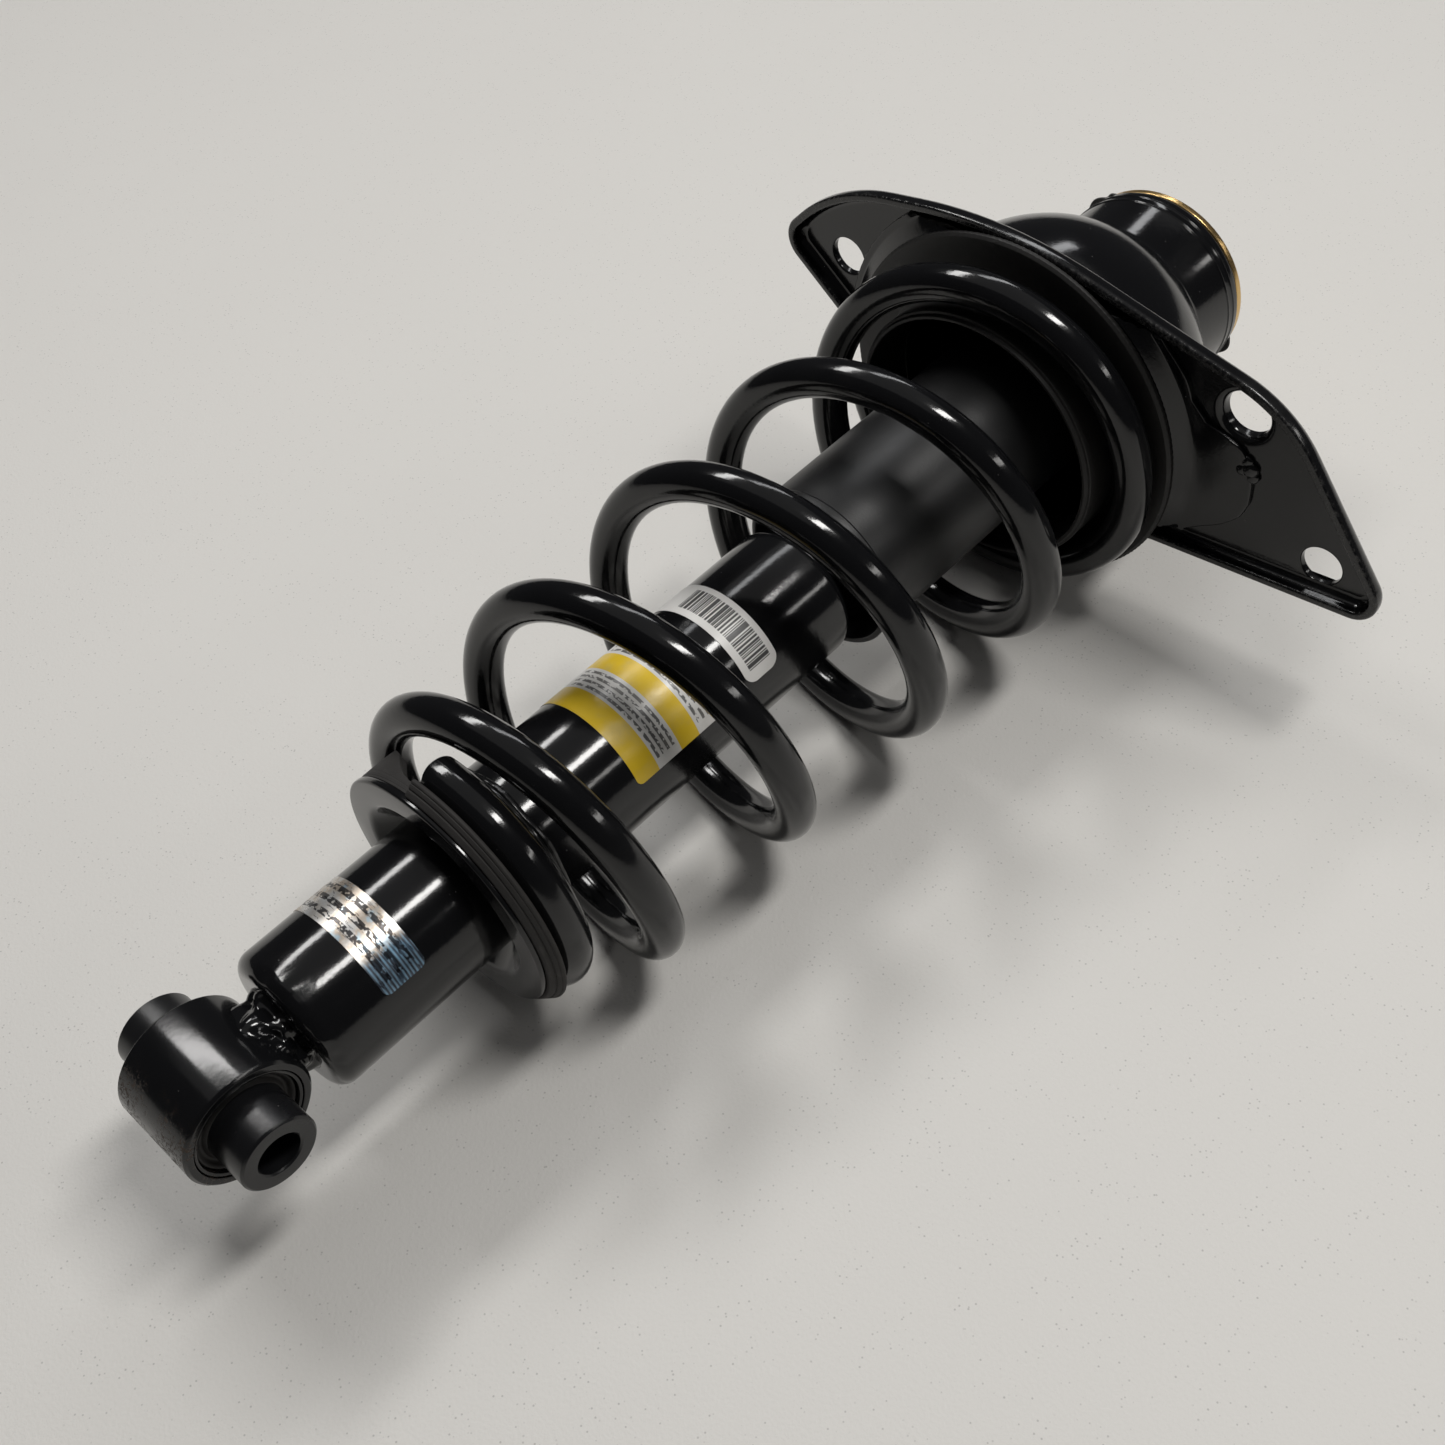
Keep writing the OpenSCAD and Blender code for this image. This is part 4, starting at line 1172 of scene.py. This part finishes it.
def dome_profile(foot_z):
    """Section of the dome and its neck, from the plate up the outside and down the inside.

    Both faces are arcs (r cos a, centre + r sin a); a fillet leads from the outer one into the neck.
    """
    s = sizes()
    neck, neck_in, centre = s.neck_r, s.neck_r - s.sheet, s.dome_z

    def ball(radius, to_r, count):
        a = np.linspace(math.asin((foot_z - centre) / radius), math.acos(to_r / radius), count)
        return np.stack([radius * np.cos(a), centre + radius * np.sin(a)], -1)

    outer = ball(DOME_R, neck + 3.2, 40)
    inner = ball(DOME_R - s.sheet, neck_in + 1.2, 30)[::-1]
    meet = centre + math.sqrt(DOME_R**2 - neck**2)
    throat = fillet(outer[-6], np.array([neck, meet + 0.4]), np.array([neck, NECK_TOP]), 5, 8)
    beads = [(0, -6.4, 0.3), (0.45, -5.9, 0.3), (0, -5.4, 0.3), (0, -3.2, 0.3), (0.4, -2.8, 0.25),
             (0, -2.4, 0.3), (0, 0, 0.6)]
    edge = [(neck + out, NECK_TOP + down, bend) for out, down, bend in beads]
    edge = rounded([(*throat[-1], 0), *edge, (neck_in, NECK_TOP, 0.3), (*inner[0], 0)], 3, closed=False)
    return np.concatenate([outer[outer[:, 1] < throat[0, 1] - 0.2], throat[:-1], edge[:-1], inner])


def foot_ripples(r, z, a):
    """Weld ripples round the dome's foot."""
    return r + 0.22 * np.sin(90 * a) * (r > DOME_R - 4), z + 0.15 * np.sin(5 * a)


def torn_flash(r, z, a):
    """Uneven flash round the mount rubber's edge, with four longer tongues."""
    torn = 0.3 * np.sin(7 * a) + 0.2 * np.sin(17 * a + 1) - 0.3
    for angle, wide, out in ((-0.88, 0.22, 2.6), (2.02, 0.2, 2.4), (-0.62, 0.1, 1.2), (3.6, 0.3, 1.2)):
        torn += out * bump(turned(a - angle) / wide)
    return r + torn * ease((r - WASHER_R + 1.5) / 1.2) * (z > NECK_TOP - 0.5), z


def thread(radius, low_z, high_z, pitch):
    """Screw thread: a V of 60 degrees wound about Z, as radius against height and angle."""
    rows = round((high_z - low_z) / pitch * 10) + 1
    z, a = np.meshgrid(np.linspace(low_z, high_z, rows), round_angles(48), indexing="ij")
    phase = ((z - low_z) / pitch - a / TURN) % 1
    depth = 0.55 * pitch
    run_out = ease((high_z - z) / (1.2 * pitch))
    return capped(polar(radius - depth * np.abs(2 * phase - 1) * run_out - depth * (1 - run_out), a, z))


def hex_nut(across, bore, low_z, high_z):
    """Hexagon nut with domed corners: radius to the flat is across/2 over cos of the angle off it."""
    sides, rows, bevel = 144, 9, 0.8
    a = round_angles(sides)
    off = (a + math.pi / 6) % (math.pi / 3) - math.pi / 6
    k = np.linspace(0, 1, rows)[:, None]
    chamfer = np.minimum(k, 1 - k) * (high_z - low_z)
    r = np.minimum(across / 2 / np.cos(off), across / 2 * 1.01 + chamfer * 1.9)
    hole = ((bevel, high_z), (0, high_z - bevel), (0, low_z + bevel), (bevel, low_z))
    outer = polar(r, a, low_z + (high_z - low_z) * k).reshape(-1, 3)
    rings = [outer, *(polar(bore + e, a, z) for e, z in hole)]
    return np.concatenate(rings), grid_faces(rows + len(hole), sides, True)


class StrutDome(bpy.types.Operator):
    """Dome with its neck, rubber mount, plated washer, nut and stud"""

    bl_idname = "strut.dome"
    bl_label = "Dome and top fixings"

    def execute(self, context):
        s = sizes()
        top = PLATE_LOW + s.plate_t
        foot = math.sqrt(DOME_R**2 - (top - s.dome_z) ** 2)
        bead = rounded(
            [(foot - 1, top - 0.2, 0.2), (foot + 3.4, top - 0.2, 0.4), (foot + 2.2, top + 2.2, 1.2),
             (foot - 0.6, top + 3.2, 0.4)],
            5,
        )
        dome = joined(revolve(dome_profile(top), 144), revolve(bead, 420, shape=foot_ripples))
        piece("mount_dome_pressed", dome, "gloss_black_paint", UPPER, "mount_dome", 50)
        sleeve, out, low = 9, s.neck_r - s.sheet - 1.5, 400
        rubber = rounded(
            [
                (sleeve, low, 0.5), (out, low, 0.8), (out, NECK_TOP - 0.2, 0.2),
                (WASHER_R, NECK_TOP + 0.05, 0.3), (WASHER_R + 0.3, NECK_TOP + 0.7, 0.3),
                (WASHER_R - 0.2, WASHER_LOW - 0.02, 0.3),
                (sleeve, WASHER_LOW - 0.02, 0.2),
            ],
            4,
        )
        mount = revolve(rubber, 360, shape=torn_flash)
        piece("mount_rubber_moulded", mount, "mount_rubber", UPPER, "mount_rubber")
        washer = ring_profile(WASHER_R, s.stud_r + 0.2, (WASHER_TOP - WASHER_LOW) / 2, 0.3, 0.35)
        washer[:, 1] += (WASHER_TOP + WASHER_LOW) / 2
        piece("plated_washer_stamped", revolve(washer), "gold_plate", UPPER, "plated_washer")
        piece("rod_nut_hex", hex_nut(17, s.stud_r, WASHER_TOP, NUT_TOP), "gold_plate", UPPER, "rod_nut")
        stud, rod, shoulder = s.stud_r, 6.25, 187.8
        profile = rounded(
            [
                (0, ROD_LOW, 0), (stud - 0.8, ROD_LOW, 0.3), (stud, ROD_LOW + 0.8, 0.3),
                (stud, shoulder, 0.1), (rod, shoulder, 0.3), (rod, SHIELD_TOP, 0.3),
                (stud, SHIELD_TOP, 0.1), (stud, WASHER_LOW, 0.1), (0, WASHER_LOW, 0),
            ],
            3,
            closed=False,
        )
        part = joined(revolve(profile, 72, closed=False), thread(stud, WASHER_LOW + 0.1, STUD_TOP, 1.25))
        piece("piston_rod_threaded", part, "rod_chrome", UPPER, "piston_rod", 30)
        dress("inner_steel", "rod_washer", "mount_sleeve", "mount_shell", "piston_nut", "rebound_stop")
        dress("guide_metal", "piston")
        return {"FINISHED"}


# ---- Labels --------------------------------------------------------------------


def film_part(node, start, stop, corner):
    """Film over a label's node: angle against height, its four corners rounded by the given radius."""
    rows, cols = 40, 72
    _, _, low, high = extent(node)
    z = low + (high - low) * (0.5 - 0.5 * np.cos(np.linspace(0, math.pi, rows)))
    near = np.minimum(z - low, high - z)
    cut = corner - np.sqrt(np.maximum(0, corner**2 - np.maximum(0, corner - near) ** 2))
    inner = TUBE_R + 0.03
    cut = (np.where(near < corner, cut, 0) / inner)[:, None]
    a = math.radians(start) + cut + (math.radians(stop - start) - 2 * cut) * np.linspace(0, 1, cols)
    layers = polar(inner + sizes().film, a, z[:, None]), polar(inner, a, z[:, None])[:, ::-1]
    sheet = np.concatenate(layers, 1)
    faces = grid_faces(rows, 2 * cols)
    for row in (0, rows - 1):
        first, last = row * 2 * cols, (row + 1) * 2 * cols - 1
        faces += [[first + j, first + j + 1, last - 1 - j, last - j] for j in range(cols - 1)]
    return sheet.reshape(-1, 3), faces


class StrutLabels(bpy.types.Operator):
    """Three generic labels on the tube"""

    bl_idname = "strut.labels"
    bl_label = "Labels"

    def execute(self, context):
        plan = [  # slot, node, azimuths in degrees, corner radius
            ("foil", "foil_label", -70, 64.5, 2.2),
            ("banded_film", "banded_label", -75, 72, 2.2),
            ("bar_film", "bar_label", -75, 70, 4.0),
        ]
        for slot, node, start, stop, corner in plan:
            piece(node + "_film", film_part(node, start, stop, corner), slot, LOWER, node)
        return {"FINISHED"}


# ---- Stage, in metres ----------------------------------------------------------

LENS = 41.65
CAMERA_AT = Vector((0.377067, 0.265490, -0.033398))
CAMERA_RIGHT = Vector((-0.102737, 0.725724, 0.680272))
CAMERA_UP = Vector((0.639991, -0.475316, 0.603727))
MIDDLE = Vector((0, 0, 0.2))
TABLE_HALF = 2.2
LAMPS = [  # name, way to it as (up, away, right), distance, length, width, power, colour
    ("strip_front", (0.92, -0.08, 0.38), 1.9, 0.85, 0.26, 18, (1, 0.985, 0.96)),
    ("strip_left", (0.79, 0.50, -0.32), 1.9, 1.0, 0.26, 12, (1, 0.99, 0.975)),
    ("strip_right", (0.50, -0.22, 0.83), 1.9, 1.2, 0.14, 3, (1, 0.98, 0.95)),
    ("strip_far", (0.72, 0.67, 0.20), 1.9, 1.0, 0.22, 3.5, (0.975, 0.985, 1)),
    ("ceiling", (0.97, 0.2, 0), 2.4, 3.4, 3.0, 6.5, (1, 0.99, 0.97)),
]


def table_rest():
    """Place in X at the lip's height, in millimetres, and slope of the plane that the strut lies on.

    The isolator's rim and the plate's straight edge are the outermost points at the top; the plane
    leans by the least slope at which the outermost points of the coil,
    x = -(centreline radius + wire radius), stay above it.
    """
    s = sizes()
    rim_x = min(PLATE_CORNERS[:, 0].min(), -TOP_ISO_R)
    line = coil_line(np.linspace(s.turn_start, s.turn_end, 800))
    reach = line[:, 0] - s.wire_d / 2
    away = LIP_LOW - line[:, 2]
    return rim_x, float(np.min((reach - rim_x)[away > 20] / away[away > 20]))


def table_finish():
    """Pale laminate: faint mottling and scattered fine specks; seen only from above."""
    c = colours()
    b = Board("table_laminate")
    speck = b.cells(520).rise(0.2, 0.09) * b.noise(150, 3).rise(0.46, 0.56)
    grain = b.noise(900, 3)
    base = b.mix(b.noise(7, 3) * 0.5 + grain * 0.35, lighter(c.table, 0.93), c.table)
    base = b.mix(speck * 0.5, base, lighter(c.table, 0.4))
    b.set(Base_Color=base, Roughness=0.6, Normal=b.bumpy(grain, 0.00012))
    behind = b.add("ShaderNodeNewGeometry", {}, {}, "Backfacing")
    clear = b.add("ShaderNodeBsdfTransparent", {}, {})
    either = b.add("ShaderNodeMixShader", {}, {0: behind, 1: Value(b, b.shader.outputs[0]), 2: clear})
    b.feed(b.tree.nodes["Material Output"].inputs["Surface"], either)
    return b.material


def frame_of(x, y, z, at):
    """Placing matrix from three unit axes and a place."""
    return Matrix.Translation(at) @ Matrix((x, y, z)).transposed().to_4x4()


def strip_lamp(name, aim, way, distance, long, wide, power, colour):
    """A rectangular lamp at a distance from its aim, with its long side along the strut."""
    data = bpy.data.lights.new(name, "AREA")
    data.shape, data.size, data.size_y = "RECTANGLE", long, wide
    data.energy, data.color = power, colour
    axis = Vector((0, 0, 1))
    along = (axis - way * axis.dot(way)).normalized()
    place(name, data).matrix_world = frame_of(along, way.cross(along), way, aim + way * distance)


class StrutStage(bpy.types.Operator):
    """Table, lamps, world and camera"""

    bl_idname = "strut.stage"
    bl_label = "Stage"

    def execute(self, context):
        rim_x, slope = table_rest()
        lean = math.atan(slope)
        up = Vector((math.cos(lean), 0, math.sin(lean)))
        back = CAMERA_RIGHT.cross(CAMERA_UP)
        away = (-back - up * (-back).dot(up)).normalized()
        right = away.cross(up)
        middle = MIDDLE - up * up.dot(MIDDLE - Vector((rim_x, 0, LIP_LOW)) * MM)
        signs = ((-1, -1), (-1, 1), (1, 1), (1, -1))
        corners = [middle + (away * i + right * j) * TABLE_HALF for i, j in signs]
        mesh = bpy.data.meshes.new("table_top")
        mesh.from_pydata([tuple(p) for p in corners], [], [(0, 1, 2, 3)])
        mesh.materials.append(table_finish())
        if mesh.polygons[0].normal.dot(up) < 0:
            mesh.flip_normals()
        place("table_top", mesh)

        aim = MIDDLE + Vector((0.01, 0, 0))
        for name, (u, w, r), *rest in LAMPS:
            strip_lamp(name, aim, (up * u + away * w + right * r).normalized(), *rest)

        world = bpy.data.worlds.new("room")
        world.use_nodes = True
        world.node_tree.nodes["Background"].inputs["Color"].default_value = (0.035, 0.035, 0.037, 1)
        context.scene.world = world

        data = bpy.data.cameras.new("camera")
        data.lens, data.sensor_width = LENS, 36
        data.clip_start, data.clip_end = 0.01, 20
        context.scene.camera = place("camera", data)
        context.scene.camera.matrix_world = frame_of(CAMERA_RIGHT, CAMERA_UP, back, CAMERA_AT)
        context.scene.view_settings.view_transform = "Standard"
        return {"FINISHED"}


# ---- Panel and registration ----------------------------------------------------

OPERATORS = (
    StrutLowerEye, StrutDamperTube, StrutLowerSeat, StrutSpring, StrutShield, StrutUpperSeat,
    StrutPlate, StrutDome, StrutLabels, StrutStage,
)


class StrutPanel(bpy.types.Panel):
    """Lists the strut's operators"""

    bl_idname = "VIEW3D_PT_strut"
    bl_label = "Strut assembly"
    bl_space_type = "VIEW_3D"
    bl_region_type = "UI"
    bl_category = "Strut"

    def draw(self, context):
        for operator in OPERATORS:
            self.layout.operator(operator.bl_idname)


CLASSES = (StrutSizes, StrutColours, *OPERATORS, StrutPanel)


def register():
    """Adds the classes and the scene's properties."""
    for cls in CLASSES:
        bpy.utils.register_class(cls)
    bpy.types.Scene.strut_sizes = PointerProperty(type=StrutSizes)
    bpy.types.Scene.strut_colours = PointerProperty(type=StrutColours)


def unregister():
    """Takes them away again."""
    del bpy.types.Scene.strut_colours
    del bpy.types.Scene.strut_sizes
    for cls in reversed(CLASSES):
        bpy.utils.unregister_class(cls)


def main():
    """Builds every piece and the stage."""
    register()
    bpy.ops.strut.lower_eye()
    bpy.ops.strut.damper_tube()
    bpy.ops.strut.lower_seat()
    bpy.ops.strut.spring()
    bpy.ops.strut.shield()
    bpy.ops.strut.upper_seat()
    bpy.ops.strut.plate()
    bpy.ops.strut.dome()
    bpy.ops.strut.labels()
    bpy.ops.strut.stage()


if __name__ == "__main__":
    main()
